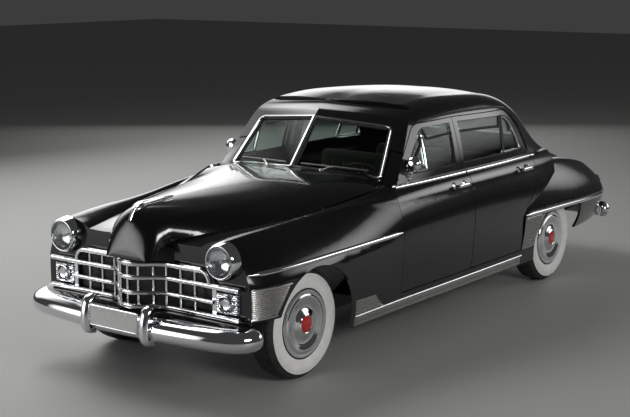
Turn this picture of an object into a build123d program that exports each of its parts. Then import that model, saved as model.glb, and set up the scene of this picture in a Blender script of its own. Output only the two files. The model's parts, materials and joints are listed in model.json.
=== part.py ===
"""Four-door sedan of about 1950: a long-bonnet body of separate panels on a ladder frame.

Frame: +X forward, +Y to the car's left, +Z up, origin on the ground under the middle of the
car's box. Lengths are in millimetres.
"""
import os
from math import atan2, cos, degrees, hypot, pi, sin, tan

from build123d import *

os.makedirs("parts", exist_ok=True)

# Driving dimensions
LENGTH = 5430.0  # over the bumpers
FRONT_OVERHANG = 870.0  # front axle to the front bumper's face
WHEELBASE = 3340.0
TRACK_FRONT = 1448.0
TRACK_REAR = 1490.0
TYRE_R = 355.0
TYRE_WIDTH = 196.0
SPINDLE_R = 28.0
GROUND_FLOOR = 330.0  # top of the cabin floor
FLOOR_T = 20.0

# Walls and gaps
DOOR_WALL = 60.0
ROOF_WALL = 42.0
FENDER_WALL = 20.0
HOOD_WALL = 18.0
TAIL_WALL = 22.0
GLASS_T = 6.0
GLASS_INSET = 16.0
GLASS_CLEAR = 0.4
PANEL_GAP = 7.0
SEAT_CLEAR = 0.3  # between a piece and the curved face it sits on
FAR = 4000.0  # reach of a cutting box

# Places along the car
X_NOSE = LENGTH / 2
X_TAIL = -LENGTH / 2
X_FRONT_AXLE = X_NOSE - FRONT_OVERHANG
X_REAR_AXLE = X_FRONT_AXLE - WHEELBASE
X_DOOR_FRONT = 890.0  # cut between front fender and front door
X_DOOR_MID = -55.0  # cut between the doors
X_LAMP_FACE = 2430.0  # flat front of the fenders, behind the lamps
X_HOOD_REAR = 960.0
X_STEP = -1230.0  # step in the floor behind the rear seat

# Heights
Z_BELT = 1088.0  # roof and lower body meet here
Z_DOOR_BOTTOM = 376.0
Z_SILL = 255.0
Z_TRUNK = 520.0  # top of the boot floor
TUNNEL_Z = 470.0  # top of the shaft's tunnel, inside
Z_FENDER_FRONT = 490.0  # lower edge of the front fender ahead of the wheel
Z_REAR_ARCH = 615.0  # top of the rear wheel opening
RAIL_FRONT = 420.0  # top of the frame ahead of the firewall
ARCH_FRONT_R = 388.0
ARCH_REAR_R = 430.0

# Door cutting: the cut leans forward as it goes in, so that the trailing edge swings clear
Y_SKIN = 950.0
CUT_LEAN = 0.32

# Body side, left half: top edge, valley, crest, widest point and sill as (y, z) at each x
SIDE = [
    # x, top, valley, crest, wide, sill
    (X_LAMP_FACE, (235, 905), (480, 905), (668, 962), (852, 700), (826, Z_SILL)),
    (2250, (360, 935), (510, 925), (685, 976), (905, 715), (880, Z_SILL)),
    (X_FRONT_AXLE, (540, 965), (610, 957), (718, 992), (932, 730), (903, Z_SILL)),
    (1400, (660, 1010), (712, 1002), (782, 1010), (938, 735), (905, Z_SILL)),
    (1100, (745, 1062), (795, 1040), (850, 1005), (938, 738), (903, Z_SILL)),
    (X_DOOR_FRONT, (792, 1103), (842, 1062), (890, 985), (938, 740), (902, Z_SILL)),
    (400, (815, 1102), (868, 1062), (905, 985), (943, 740), (906, Z_SILL)),
    (X_DOOR_MID, (825, 1100), (877, 1060), (911, 985), (945, 740), (908, Z_SILL)),
    (-600, (822, 1098), (874, 1058), (909, 985), (945, 740), (908, Z_SILL)),
    (-1100, (802, 1095), (850, 1055), (886, 980), (930, 740), (900, Z_SILL)),
    (-1500, (770, 1092), (812, 1048), (842, 980), (870, 740), (850, Z_SILL)),
]

# Roof and pillars, half arch: base, drip edge, shoulder as (y, z), then the crown's height
ROOF = [
    # x, base, drip, shoulder, crown
    (960, (800, 1060), (662, 1440), (470, 1540), 1556),
    (600, (808, 1060), (680, 1458), (492, 1572), 1594),
    (200, (820, 1060), (712, 1476), (510, 1606), 1632),
    (-300, (828, 1060), (722, 1482), (515, 1612), 1640),
    (-800, (820, 1060), (706, 1468), (500, 1582), 1608),
    (-1100, (800, 1060), (672, 1415), (472, 1510), 1535),
    (-1350, (775, 1060), (628, 1300), (440, 1365), 1385),
    (-1560, (745, 1060), (580, 1160), (410, 1190), 1200),
    (-1700, (715, 1060), (550, 1090), (400, 1105), 1110),
]

# Tail, half arch: low edge, side, shoulder as (y, z), then the crown's height
TAIL = [
    # x, low, side, shoulder, crown
    (-1200, (800, Z_TRUNK), (815, 850), (690, 1068), 1104),
    (-1600, (780, Z_TRUNK), (790, 840), (640, 1058), 1100),
    (-1950, (740, Z_TRUNK), (745, 800), (585, 1000), 1046),
    (-2250, (690, Z_TRUNK), (690, 730), (530, 880), 925),
    (-2450, (640, Z_TRUNK), (640, 640), (490, 745), 785),
    (-2560, (600, Z_TRUNK), (600, 580), (455, 640), 664),
]

# Rear fender, left: inner edge, crest, widest point and lower edge as (y, z)
REAR_FENDER = [
    # x, inner, crest, wide, low
    (-838, (840, 760), (912, 720), (949, 620), (915, 368)),
    (-1000, (800, 905), (888, 870), (951, 650), (903, 368)),
    (-1250, (745, 962), (846, 945), (952, 660), (880, 368)),
    (-1550, (700, 966), (806, 974), (952, 662), (860, 368)),
    (-1900, (620, 945), (778, 955), (946, 655), (842, 372)),
    (-2200, (540, 850), (752, 900), (920, 645), (824, 382)),
    (-2400, (490, 750), (728, 822), (882, 630), (800, 396)),
    (-2470, (470, 700), (715, 780), (856, 622), (784, 404)),
]

# Bonnet, half arch: edge and flank as (y, z), then the crown's height
HOOD = [
    # x, edge, flank, crown
    (X_HOOD_REAR, (764, 1088), (500, 1140), 1158),
    (1400, (648, 1012), (430, 1112), 1147),
    (X_FRONT_AXLE, (528, 968), (360, 1084), 1136),
    (2250, (348, 940), (262, 1054), 1124),
    (2430, (224, 905), (192, 1022), 1114),
]

# Prow at the bonnet's front, in the same columns
PROW = [
    # x, edge, flank, crown
    (2430, (224, 905), (192, 1022), 1114),
    (2470, (216, 880), (184, 1006), 1107),
    (2498, (210, 858), (177, 988), 1094),
    (2520, (205, 840), (170, 966), 1070),
    (2540, (199, 822), (162, 934), 1030),
    (2556, (193, 810), (154, 902), 982),
    (2568, (186, 802), (145, 868), 930),
    (2578, (176, 799), (132, 840), 880),
    (2584, (162, 797), (116, 818), 842),
]
PROW_HOLLOW = 5  # rows of the prow that are hollow behind

# Cowl between bonnet and windscreen, as the bonnet's rows
COWL = [
    # x, edge, flank, crown
    (720, (768, 1090), (520, 1150), 1182),
    (X_HOOD_REAR - PANEL_GAP, (748, 1088), (500, 1140), 1158),
]

# Windscreen: each flat pane's corners
SCREEN_BASE_MID = Vector(920, 0, 1173)
SCREEN_BASE_END = Vector(776, 657, 1128)
SCREEN_TOP_MID = Vector(645, 0, 1497)
SCREEN_WALL = 36.0
SCREEN_ROUND = 220.0  # rounding of the roof's front edge
ROOF_FRONT = Vector(559, 0, 1598)  # where the roof would meet the windscreen's plane
ROOF_FALL = 5.4  # degrees, the roof's slope there


# Curves through key points
def curve_at(keys, t):
    """Point and direction on a smooth curve through the key points, at key number t."""
    i = min(int(t), len(keys) - 2)
    u = t - i
    p1, p2 = keys[i], keys[i + 1]
    p0 = keys[i - 1] if i > 0 else (2 * p1[0] - p2[0], 2 * p1[1] - p2[1])
    p3 = keys[i + 2] if i + 2 < len(keys) else (2 * p2[0] - p1[0], 2 * p2[1] - p1[1])
    point, direction = [], []
    for a, b, c, d in zip(p0, p1, p2, p3):
        k1, k2, k3 = c - a, 2 * a - 5 * b + 4 * c - d, 3 * b - a - 3 * c + d
        point.append(0.5 * (2 * b + k1 * u + k2 * u**2 + k3 * u**3))
        direction.append(0.5 * (k1 + 2 * k2 * u + 3 * k3 * u**2))
    return point, direction


def chain(keys, inset):
    """Key points and the points half way between them, moved in from the outside by inset."""
    points = []
    for step in range(2 * len(keys) - 1):
        (y, z), (dy, dz) = curve_at(keys, step / 2)
        size = hypot(dy, dz)
        points.append((y + inset * dz / size, z - inset * dy / size))
    return points


def arcs(points):
    """Arcs through each key point, middle point and next key point, inside a line builder."""
    for a, m, b in zip(points[0::2], points[1::2], points[2::2]):
        chord = hypot(b[0] - a[0], b[1] - a[1])
        bulge = ((b[0] - a[0]) * (m[1] - a[1]) - (b[1] - a[1]) * (m[0] - a[0])) / chord
        if abs(bulge) < 0.02:
            Line(a, b)
        else:
            ThreePointArc(a, m, b)


def wall_face(x, keys, outside, inside):
    """Closed section of a wall between two insets of one curve."""
    outer, inner = chain(keys, outside), chain(keys, inside)
    with BuildSketch(Plane.YZ.offset(x)) as section:
        with BuildLine():
            arcs(outer)
            Line(outer[-1], inner[-1])
            arcs(inner[::-1])
            Line(inner[0], outer[0])
        make_face()
    return section.sketch


def arch_face(x, half, crown, inset):
    """Closed section under an arch, from the half arch's points and the crown's height."""
    left = list(half)
    right = [(-y, z) for y, z in left]
    keys = right + [(0, crown)] + left[::-1]
    points = chain(keys, inset)
    with BuildSketch(Plane.YZ.offset(x)) as section:
        with BuildLine():
            arcs(points)
            Line(points[-1], points[0])
        make_face()
    return section.sketch


def arch_solid(table, inset, ruled=False):
    """Solid under a row of arches."""
    with BuildPart() as solid:
        loft(sections=[arch_face(row[0], row[1:-1], row[-1], inset) for row in table], ruled=ruled)
    return solid.part


def side_wall(rows, outside, inside):
    """The left body side through a run of its sections, between two insets."""
    with BuildPart() as wall:
        loft(sections=[wall_face(row[0], row[1:], outside, inside) for row in rows])
    return wall.part


def outline(points):
    """Closed line through points, where a point followed by None is a middle of an arc."""
    with BuildLine() as line:
        at = points[0]
        i = 1
        while i < len(points):
            if len(points[i]) == 3:
                ThreePointArc(at, points[i][:2], points[i + 1])
                at = points[i + 1]
                i += 2
            else:
                Line(at, points[i])
                at = points[i]
                i += 1
        Line(at, points[0])
    return line.line


def box_between(low, high):
    """Box from its lowest to its highest corner, for cutting."""
    size = [h - l for l, h in zip(low, high)]
    return Solid.make_box(*size, Plane(origin=low))


def save(piece, name):
    """Labels a finished piece and writes it."""
    piece.label = name
    export_step(piece, f"parts/{name}.step")


# Windscreen plane, in from the outside by a distance
def screen_plane(side, inset):
    base_end = Vector(SCREEN_BASE_END.X, side * SCREEN_BASE_END.Y, SCREEN_BASE_END.Z)
    across = base_end - SCREEN_BASE_MID
    up = SCREEN_TOP_MID - SCREEN_BASE_MID
    normal = across.cross(up) * side
    normal = normal.normalized()
    return Plane(origin=SCREEN_BASE_MID - normal * inset, x_dir=across, z_dir=normal)


def screen_round(side):
    """Corner above one windscreen pane, taken off to round the roof's front edge."""
    front = screen_plane(side, 0).z_dir
    base_end = Vector(SCREEN_BASE_END.X, side * SCREEN_BASE_END.Y, SCREEN_BASE_END.Z)
    across = (base_end - SCREEN_BASE_MID).normalized()
    up = Vector(sin(ROOF_FALL * pi / 180), 0, cos(ROOF_FALL * pi / 180))
    up = (up - across * up.dot(across)).normalized()
    both = front + up
    centre = ROOF_FRONT - both * (SCREEN_ROUND / (1 + front.dot(up)))
    plane = Plane(origin=centre, x_dir=up, z_dir=across)
    tangent = (centre + front * SCREEN_ROUND, centre + both.normalized() * SCREEN_ROUND, centre + up * SCREEN_ROUND)
    far = (centre + up * 2 * SCREEN_ROUND, ROOF_FRONT + both * SCREEN_ROUND, centre + front * 2 * SCREEN_ROUND)
    on_arc = [(c.X, c.Y) for c in (plane.to_local_coords(point) for point in tangent)]
    outside = [(c.X, c.Y) for c in (plane.to_local_coords(point) for point in far)]
    with BuildPart() as corner:
        with BuildSketch(plane):
            with BuildLine():
                ThreePointArc(*on_arc)
                Polyline([on_arc[2]] + outside + [on_arc[0]])
            make_face()
        extrude(amount=900, both=True)
        half_low = (-FAR, 0 if side > 0 else -FAR, 0)
        add(box_between(half_low, (FAR, FAR if side > 0 else 0, FAR)), mode=Mode.INTERSECT)
    return corner.part


def roof_solid(inset, screen_inset):
    """Solid under the roof, cut off at the two windscreen planes."""
    with BuildPart() as solid:
        add(arch_solid(ROOF, inset))
        for side in (1, -1):
            split(bisect_by=screen_plane(side, screen_inset), keep=Keep.BOTTOM)
        if not inset:
            for side in (1, -1):
                add(screen_round(side), mode=Mode.SUBTRACT)
    return solid.part


# Door outlines seen from the side, as they show on the skin at half-width y
def lean(x, y):
    """Place on the cutting plane of a point that shows at x on skin of half-width y."""
    return x - (Y_SKIN - y) * CUT_LEAN


FRONT_DOOR = [
    (X_DOOR_FRONT, Z_DOOR_BOTTOM),
    (X_DOOR_FRONT, 985),
    (lean(X_DOOR_FRONT, 830), 1075),
    (lean(X_DOOR_FRONT - 10, 795), 1110),
    (lean(778, 775), 1120),
    (lean(470, 690), 1438),
    (lean(425, 685), 1462, "arc"),
    (lean(360, 690), 1470),
    (lean(X_DOOR_MID, 715), 1480),
    (lean(X_DOOR_MID, 825), 1100),
    (lean(X_DOOR_MID, 911), 985),
    (X_DOOR_MID, 800),
    (X_DOOR_MID, Z_DOOR_BOTTOM),
]
REAR_DOOR = [
    (X_DOOR_MID, Z_DOOR_BOTTOM),
    (X_DOOR_MID, 800),
    (lean(X_DOOR_MID, 911), 985),
    (lean(X_DOOR_MID, 825), 1100),
    (lean(X_DOOR_MID, 715), 1480),
    (lean(-780, 705), 1464),
    (lean(-985, 695), 1392, "arc"),
    (lean(-1085, 740), 1230),
    (lean(-1108, 795), 1105),
    (lean(-1108, 840), 1040),
    (lean(-1060, 890), 900, "arc"),
    (lean(-905, 935), 745),
    (-838, 640),
    (-832, Z_DOOR_BOTTOM),
]
FRONT_WINDOW = [
    (668, 1140), (398, 1408), (360, 1432, "arc"), (310, 1438), (-12, 1444), (6, 1140),
]
REAR_WINDOW = [
    (-102, 1140), (-118, 1444), (-760, 1426), (-930, 1378, "arc"), (-1012, 1240), (-1046, 1140),
]
CUT_DEPTH = 420.0
DOOR_INNER = [(686, 1000), (686, 1100), (618, 1450), (598, 1540)]  # (y, z) where the door's cut ends


def door_cutter(points, gap):
    """Leaning prism that takes a left door out of the body side, smaller or larger by a gap."""
    with BuildPart() as cutter:
        with BuildSketch(Plane.XZ.offset(-Y_SKIN)):
            add(outline(points))
            make_face()
            if gap:
                offset(amount=gap, kind=Kind.INTERSECTION, mode=Mode.REPLACE)
        extrude(amount=CUT_DEPTH, dir=(CUT_LEAN, -1, 0))
        extrude(cutter.faces().sort_by(Axis.Y)[-1], amount=CUT_DEPTH / 4, dir=(-CUT_LEAN, 1, 0))
        with BuildSketch(Plane.YZ.offset(-2000)):
            inner = [(y - gap, z) for y, z in DOOR_INNER]
            Polygon(inner + [(0, inner[-1][1]), (0, inner[0][1])], align=None)
        extrude(amount=4000, mode=Mode.SUBTRACT)
    return cutter.part


def window_cutter(points, gap):
    """Straight prism through a left window."""
    with BuildPart() as cutter:
        with BuildSketch(Plane.XZ.offset(-Y_SKIN)):
            add(outline(points))
            make_face()
            if gap:
                offset(amount=gap, kind=Kind.INTERSECTION, mode=Mode.REPLACE)
        extrude(amount=CUT_DEPTH)
    return cutter.part


# Forms that several panels are cut from
ROOF_OUT = roof_solid(0, 0)
ROOF_IN = roof_solid(ROOF_WALL, SCREEN_WALL)
SIDE_WALL = side_wall(SIDE[5:], 0, DOOR_WALL)
FENDER_SIDE = side_wall(SIDE[:8], 0, FENDER_WALL)
TAIL_OUT = arch_solid(TAIL, 0)
TAIL_HOLLOW = [(row[0], (row[1][0], row[1][1] - 40)) + row[2:] for row in TAIL]  # open below
TAIL_IN = arch_solid(TAIL_HOLLOW, TAIL_WALL)
HOOD_OUT = arch_solid(HOOD, 0)
HOOD_IN = arch_solid(HOOD, HOOD_WALL)
PROW_OUT = arch_solid(PROW, 0, ruled=True)
PROW_IN = arch_solid(PROW[:PROW_HOLLOW], HOOD_WALL, ruled=True)
ABOVE_BELT = box_between((-FAR, -FAR, Z_BELT), (FAR, FAR, FAR))
BELOW_BELT = box_between((-FAR, -FAR, -FAR), (FAR, FAR, Z_BELT))

with BuildPart() as roof_shell:
    add(ROOF_OUT)
    add(ROOF_IN, mode=Mode.SUBTRACT)
    add(BELOW_BELT, mode=Mode.SUBTRACT)

with BuildPart() as lower_side:
    add(SIDE_WALL)
    add(ABOVE_BELT, mode=Mode.SUBTRACT)

# Doors, left ones first
WINDOWS = {"front": FRONT_WINDOW, "rear": REAR_WINDOW}
OUTLINES = {"front": FRONT_DOOR, "rear": REAR_DOOR}
HANDLES = {"front": (105, 907, 1012), "rear": (-872, 904, 1012)}
HANDLE_LENGTH = 190.0
DOOR_PARTS = {}
for where in ("front", "rear"):
    hx, hy, hz = HANDLES[where]
    with BuildPart() as door:
        add(roof_shell.part)
        add(lower_side.part)
        add(door_cutter(OUTLINES[where], -PANEL_GAP / 2), mode=Mode.INTERSECT)
        add(window_cutter(WINDOWS[where], 0), mode=Mode.SUBTRACT)
        for end in (-1, 1):
            with Locations((hx + end * (HANDLE_LENGTH / 2 - 24), hy, hz)):
                Cylinder(11, 60, rotation=(90, 0, 0))
        with BuildPart(mode=Mode.PRIVATE) as grip:
            with Locations((hx, hy + 31, hz)):
                Box(HANDLE_LENGTH, 16, 25)
            fillet(grip.edges().filter_by(Axis.Y), 11)
            fillet(grip.faces().sort_by(Axis.Y)[-1].edges(), 5)
        add(grip.part)
        if where == "front":
            with Locations((745, 815, 1150)):
                Cylinder(9, 150, rotation=(-50, 0, 0))
            with BuildPart(mode=Mode.PRIVATE) as mirror_head:
                with Locations((748, 878, 1212)):
                    Cylinder(54, 34, rotation=(0, 90, 0))
                fillet(mirror_head.edges().group_by(Axis.X)[-1], 26)
            add(mirror_head.part)
    with BuildPart() as pane:
        add(arch_solid(ROOF, GLASS_INSET))
        add(arch_solid(ROOF, GLASS_INSET + GLASS_T), mode=Mode.SUBTRACT)
        add(window_cutter(WINDOWS[where], -GLASS_CLEAR), mode=Mode.INTERSECT)
    DOOR_PARTS[where] = (door.part, pane.part)
    for side, name in ((1, "left"), (-1, "right")):
        for kind, piece in (("door", door.part), ("glass", pane.part)):
            placed = piece if side > 0 else mirror(piece, about=Plane.XZ)
            save(placed, f"{kind}_{where}_{name}")

# Roof with its pillars, windscreen frame and rear window frame
SCREEN_CORNERS = [(920, 14, 1173), (776, 657, 1128), (525, 583, 1446), (645, 14, 1497)]
BACKLIGHT = (960.0, 232.0, 1300.0)  # width, height, middle height


def screen_prism(side, gap, depth_out, depth_in):
    """Prism through one windscreen pane."""
    plane = screen_plane(side, 0)
    corners = [plane.to_local_coords(Vector(x, side * y, z)) for x, y, z in SCREEN_CORNERS]
    with BuildPart() as prism:
        with BuildSketch(plane):
            with BuildLine():
                Polyline([(c.X, c.Y) for c in corners], close=True)
            make_face()
            if gap:
                offset(amount=gap, kind=Kind.INTERSECTION, mode=Mode.REPLACE)
        extrude(amount=depth_out)
        extrude(prism.faces().sort_by(Axis(plane.origin, plane.z_dir))[0], amount=depth_in)
    return prism.part


def backlight_prism(gap):
    """Prism along the car through the rear window."""
    width, height, middle = BACKLIGHT
    with BuildPart() as prism:
        with BuildSketch(Plane.YZ.offset(-1150)):
            with Locations((0, middle)):
                RectangleRounded(width + 2 * gap, height + 2 * gap, 70 + gap)
        extrude(amount=-600)
    return prism.part


with BuildPart() as roof:
    add(roof_shell.part)
    add(box_between((X_HOOD_REAR - 14, -FAR, 0), (FAR, FAR, FAR)), mode=Mode.SUBTRACT)
    for where in ("front", "rear"):
        cutter = door_cutter(OUTLINES[where], PANEL_GAP / 2)
        add(cutter, mode=Mode.SUBTRACT)
        mirror(cutter, about=Plane.XZ, mode=Mode.SUBTRACT)
    for side in (1, -1):
        add(screen_prism(side, 0, 30, 120), mode=Mode.SUBTRACT)
    add(backlight_prism(0), mode=Mode.SUBTRACT)
    add(TAIL_OUT, mode=Mode.SUBTRACT)
save(roof.part, "roof")

with BuildPart() as windscreen:
    for side in (1, -1):
        with BuildPart(mode=Mode.PRIVATE) as pane:
            add(screen_prism(side, -GLASS_CLEAR, 1, 60))
            split(bisect_by=screen_plane(side, GLASS_INSET), keep=Keep.BOTTOM)
            split(bisect_by=screen_plane(side, GLASS_INSET + GLASS_T), keep=Keep.TOP)
        add(pane.part)
save(windscreen.part, "windscreen")

with BuildPart() as rear_window:
    add(arch_solid(ROOF, GLASS_INSET))
    add(arch_solid(ROOF, GLASS_INSET + GLASS_T), mode=Mode.SUBTRACT)
    add(backlight_prism(-GLASS_CLEAR), mode=Mode.INTERSECT)
save(rear_window.part, "rear_window")

# Sills with the posts between the doors, and the quarter panels behind the doors
with BuildPart() as side_rest:
    add(lower_side.part)
    for where in ("front", "rear"):
        add(door_cutter(OUTLINES[where], PANEL_GAP / 2), mode=Mode.SUBTRACT)
X_SILL_REAR = -845.0
POST_HALF = 50.0
POST = [
    # y, z of the post's outer face from sill to roof
    (846, 331), (868, 740), (836, 965), (772, 1050), (758, 1098), (672, 1440), (640, 1540),
]
POST_T = 34.0

with BuildPart() as post:
    with BuildSketch(Plane.YZ.offset(X_DOOR_MID - POST_HALF)):
        Polygon(POST + [(y - POST_T, z) for y, z in POST[::-1]], align=None)
    extrude(amount=2 * POST_HALF - 6)
    add(roof.part, mode=Mode.SUBTRACT)

with BuildPart() as sill:
    add(side_rest.part)
    add(box_between((X_SILL_REAR, 0, 0), (FAR, FAR, Z_DOOR_BOTTOM)), mode=Mode.INTERSECT)
    add(post.part)
    foot_low = (X_DOOR_MID - POST_HALF, 800, GROUND_FLOOR + SEAT_CLEAR)
    add(box_between(foot_low, (X_DOOR_MID + POST_HALF - 6, 862, 360)))
    stop_y = SIDE[7][4][0] - DOOR_WALL - 3 * SEAT_CLEAR
    for x in (X_DOOR_MID + 34, X_DOOR_MID - 40):
        add(box_between((x - 9, 850, 730), (x + 9, stop_y, 752)))
with BuildPart() as sills:
    add(sill.part)
    mirror(about=Plane.XZ)
save(sills.part, "sills")

with BuildPart() as quarter:
    add(side_rest.part)
    add(box_between((-FAR, 0, 0), (X_SILL_REAR - SEAT_CLEAR, FAR, FAR)), mode=Mode.INTERSECT)
    with Locations((X_REAR_AXLE, 800, TYRE_R)):
        Cylinder(ARCH_REAR_R, 900, rotation=(90, 0, 0), mode=Mode.SUBTRACT)
    add(box_between((-FAR, 0, 0), (X_REAR_AXLE, FAR, 700)), mode=Mode.SUBTRACT)
    add(TAIL_OUT, mode=Mode.SUBTRACT)
with BuildPart() as quarters:
    add(quarter.part)
    mirror(about=Plane.XZ)
save(quarters.part, "quarters")

# Tail with the boot opening, and the boot lid
LID_FRONT = -1735.0
LID_HALF = 500.0
LID_LOW = 628.0


def lid_cutter(gap):
    """Upright prism that takes the boot lid out of the tail."""
    with BuildPart() as cutter:
        with BuildSketch(Plane.XY.offset(LID_LOW - gap)):
            with Locations((LID_FRONT - 500, 0)):
                RectangleRounded(1000 + 2 * gap, 2 * (LID_HALF + gap), 90 + gap)
        extrude(amount=700)
    return cutter.part


with BuildPart() as tail_shell:
    add(TAIL_OUT)
    with BuildPart(mode=Mode.PRIVATE) as hollow:
        add(TAIL_IN)
        add(box_between((TAIL[-1][0] + TAIL_WALL, -FAR, 0), (FAR, FAR, FAR)), mode=Mode.INTERSECT)
    add(hollow.part, mode=Mode.SUBTRACT)

with BuildPart() as rear_body:
    add(tail_shell.part)
    add(lid_cutter(PANEL_GAP / 2), mode=Mode.SUBTRACT)
    stop_x = TAIL[-1][0] + 4
    for side in (1, -1):
        add(box_between((stop_x, side * 300 - 30, LID_LOW - 12), (stop_x + 14, side * 300 + 30, LID_LOW + 3)))
    for side in (1, -1):
        with Locations((X_REAR_AXLE, side * 800, TYRE_R)):
            Cylinder(ARCH_REAR_R - 20, 340, rotation=(90, 0, 0), mode=Mode.SUBTRACT)
save(rear_body.part, "rear_body")

with BuildPart() as trunk_lid:
    add(tail_shell.part)
    add(lid_cutter(-PANEL_GAP / 2), mode=Mode.INTERSECT)
save(trunk_lid.part, "trunk_lid")

# Front fenders with the flat lamp panels, the aprons that rest on the frame and the bonnet's rests
LAMP_PANEL_T = 24.0
PROW_CLEAR = 262.0  # the panels stop beside the prow
with BuildPart() as front_fender:
    add(FENDER_SIDE)
    add(box_between((-FAR, 0, 0), (X_DOOR_FRONT + PANEL_GAP / 2, FAR, FAR)), mode=Mode.SUBTRACT)
    nose = chain(SIDE[0][1:], 0)
    with BuildPart(mode=Mode.PRIVATE) as lamp_panel:
        with BuildSketch(Plane.YZ.offset(X_LAMP_FACE)):
            with BuildLine():
                arcs(nose)
                Line(nose[-1], (600, Z_SILL))
                Line((600, Z_SILL), (600, 690))
                Line((600, 690), (520, 780))
                Line((520, 780), (235, 780))
                Line((235, 780), nose[0])
            make_face()
        extrude(amount=-LAMP_PANEL_T)
        add(box_between((-FAR, 0, 0), (FAR, PROW_CLEAR, FAR)), mode=Mode.SUBTRACT)
    add(lamp_panel.part)
    with Locations((X_FRONT_AXLE, 800, TYRE_R)):
        Cylinder(ARCH_FRONT_R, 900, rotation=(90, 0, 0), mode=Mode.SUBTRACT)
    add(box_between((X_FRONT_AXLE, 0, 0), (FAR, FAR, Z_FENDER_FRONT)), mode=Mode.SUBTRACT)
    apron_low = (X_LAMP_FACE - LAMP_PANEL_T, 372, RAIL_FRONT + SEAT_CLEAR)
    add(box_between(apron_low, (X_LAMP_FACE, 640, Z_FENDER_FRONT + 30)))
    add(box_between((1385, 612, 985), (1415, 661, 1003)))
    with BuildPart(mode=Mode.PRIVATE) as rest:
        add(box_between((1385, 612, 1003), (1415, 630, 1015)))
        add(HOOD_OUT.moved(Location((0, 0, -SEAT_CLEAR))), mode=Mode.SUBTRACT)
    add(rest.part)
with BuildPart() as front_fenders:
    add(front_fender.part)
    mirror(about=Plane.XZ)
save(front_fenders.part, "front_fenders")

# Rear fenders with their closed ends
FENDER_END_T = 18.0
with BuildPart() as rear_opening:
    with Locations((X_REAR_AXLE, 800, TYRE_R)):
        Cylinder(ARCH_REAR_R, 900, rotation=(90, 0, 0))
    add(box_between((-FAR, 0, 0), (FAR, FAR, Z_REAR_ARCH)), mode=Mode.INTERSECT)
with BuildPart() as rear_fender:
    loft(sections=[wall_face(row[0], row[1:], 0, FENDER_WALL) for row in REAR_FENDER])
    end = chain(REAR_FENDER[-1][1:], 0)
    with BuildSketch(Plane.YZ.offset(REAR_FENDER[-1][0])):
        with BuildLine():
            arcs(end)
            Polyline(end[-1], (660, 404), (660, 560), (560, 640), end[0])
        make_face()
    extrude(amount=FENDER_END_T)
    add(rear_opening.part, mode=Mode.SUBTRACT)
    add(SIDE_WALL, mode=Mode.SUBTRACT)
    add(TAIL_OUT, mode=Mode.SUBTRACT)
    add(box_between((-1250, 0, 600), (FAR, 842, FAR)), mode=Mode.SUBTRACT)
    add(box_between((-1135, 0, 880), (-1035, 856, 932)), mode=Mode.SUBTRACT)
    add(door_cutter(OUTLINES["rear"], PANEL_GAP / 2), mode=Mode.SUBTRACT)
with BuildPart() as rear_fenders:
    add(rear_fender.part)
    mirror(about=Plane.XZ)
save(rear_fenders.part, "rear_fenders")

# Bonnet with its closed prow
with BuildPart() as hood:
    add(HOOD_OUT)
    add(PROW_OUT)
    add(HOOD_IN, mode=Mode.SUBTRACT)
    add(PROW_IN, mode=Mode.SUBTRACT)
save(hood.part, "hood")

# Bonnet ornament: a tapering wing along the crown, a stem down the prow and two arms
WING = [
    # x, half width, low, high
    (2156, 4, 1110, 1131),
    (2330, 13, 1100, 1136),
    (2440, 19, 1090, 1133),
    (2496, 15, 1070, 1118),
]
ORNAMENT_BARS = [
    # from, to, thickness at each
    ((2490, 0, 1100), (2538, 0, 1034), 15, 8),
    ((2528, 0, 1056), (2486, 74, 1098), 10, 6),
    ((2528, 0, 1056), (2486, -74, 1098), 10, 6),
]
with BuildPart() as hood_ornament:
    for x, half, low, high in WING:
        with BuildSketch(Plane.YZ.offset(x)):
            with Locations((0, (low + high) / 2)):
                RectangleRounded(2 * half, high - low, 0.9 * half)
    loft()
    for start, finish, thick, thin in ORNAMENT_BARS:
        along = Vector(*finish) - Vector(*start)
        with BuildPart(mode=Mode.PRIVATE) as bar:
            with BuildSketch(Plane(origin=start, z_dir=along)):
                Circle(thick)
            with BuildSketch(Plane(origin=finish, z_dir=along)):
                Circle(thin)
            loft()
        add(bar.part)
    add(HOOD_OUT, mode=Mode.SUBTRACT)
    add(PROW_OUT, mode=Mode.SUBTRACT)
save(hood_ornament.part, "hood_ornament")

# Cowl and firewall
with BuildPart() as cowl:
    add(arch_solid(COWL, 0))
    add(arch_solid(COWL, HOOD_WALL), mode=Mode.SUBTRACT)
    add(ROOF_OUT, mode=Mode.SUBTRACT)
    cutter = door_cutter(OUTLINES["front"], PANEL_GAP / 2)
    add(cutter, mode=Mode.SUBTRACT)
    mirror(cutter, about=Plane.XZ, mode=Mode.SUBTRACT)
    foot = GROUND_FLOOR - FLOOR_T
    with BuildSketch(Plane.YZ.offset(X_HOOD_REAR - PANEL_GAP)):
        Polygon((-835, foot), (835, foot), (845, 900), (700, 1060), (-700, 1060), (-845, 900), align=None)
    extrude(amount=-20)
    with BuildSketch(Plane.YZ.offset(X_HOOD_REAR - PANEL_GAP)):
        Polygon((-690, 1055), (690, 1055), (480, 1130), (0, 1150), (-480, 1130), align=None)
    extrude(amount=-14)
    for side in (1, -1):
        with Locations((X_HOOD_REAR - PANEL_GAP - 24, side * 846, 640)):
            Box(48, 36, 500)
    add(box_between((0, -110, 0), (FAR, 110, TUNNEL_Z)), mode=Mode.SUBTRACT)
    add(roof.part, mode=Mode.SUBTRACT)
save(cowl.part, "cowl")

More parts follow.
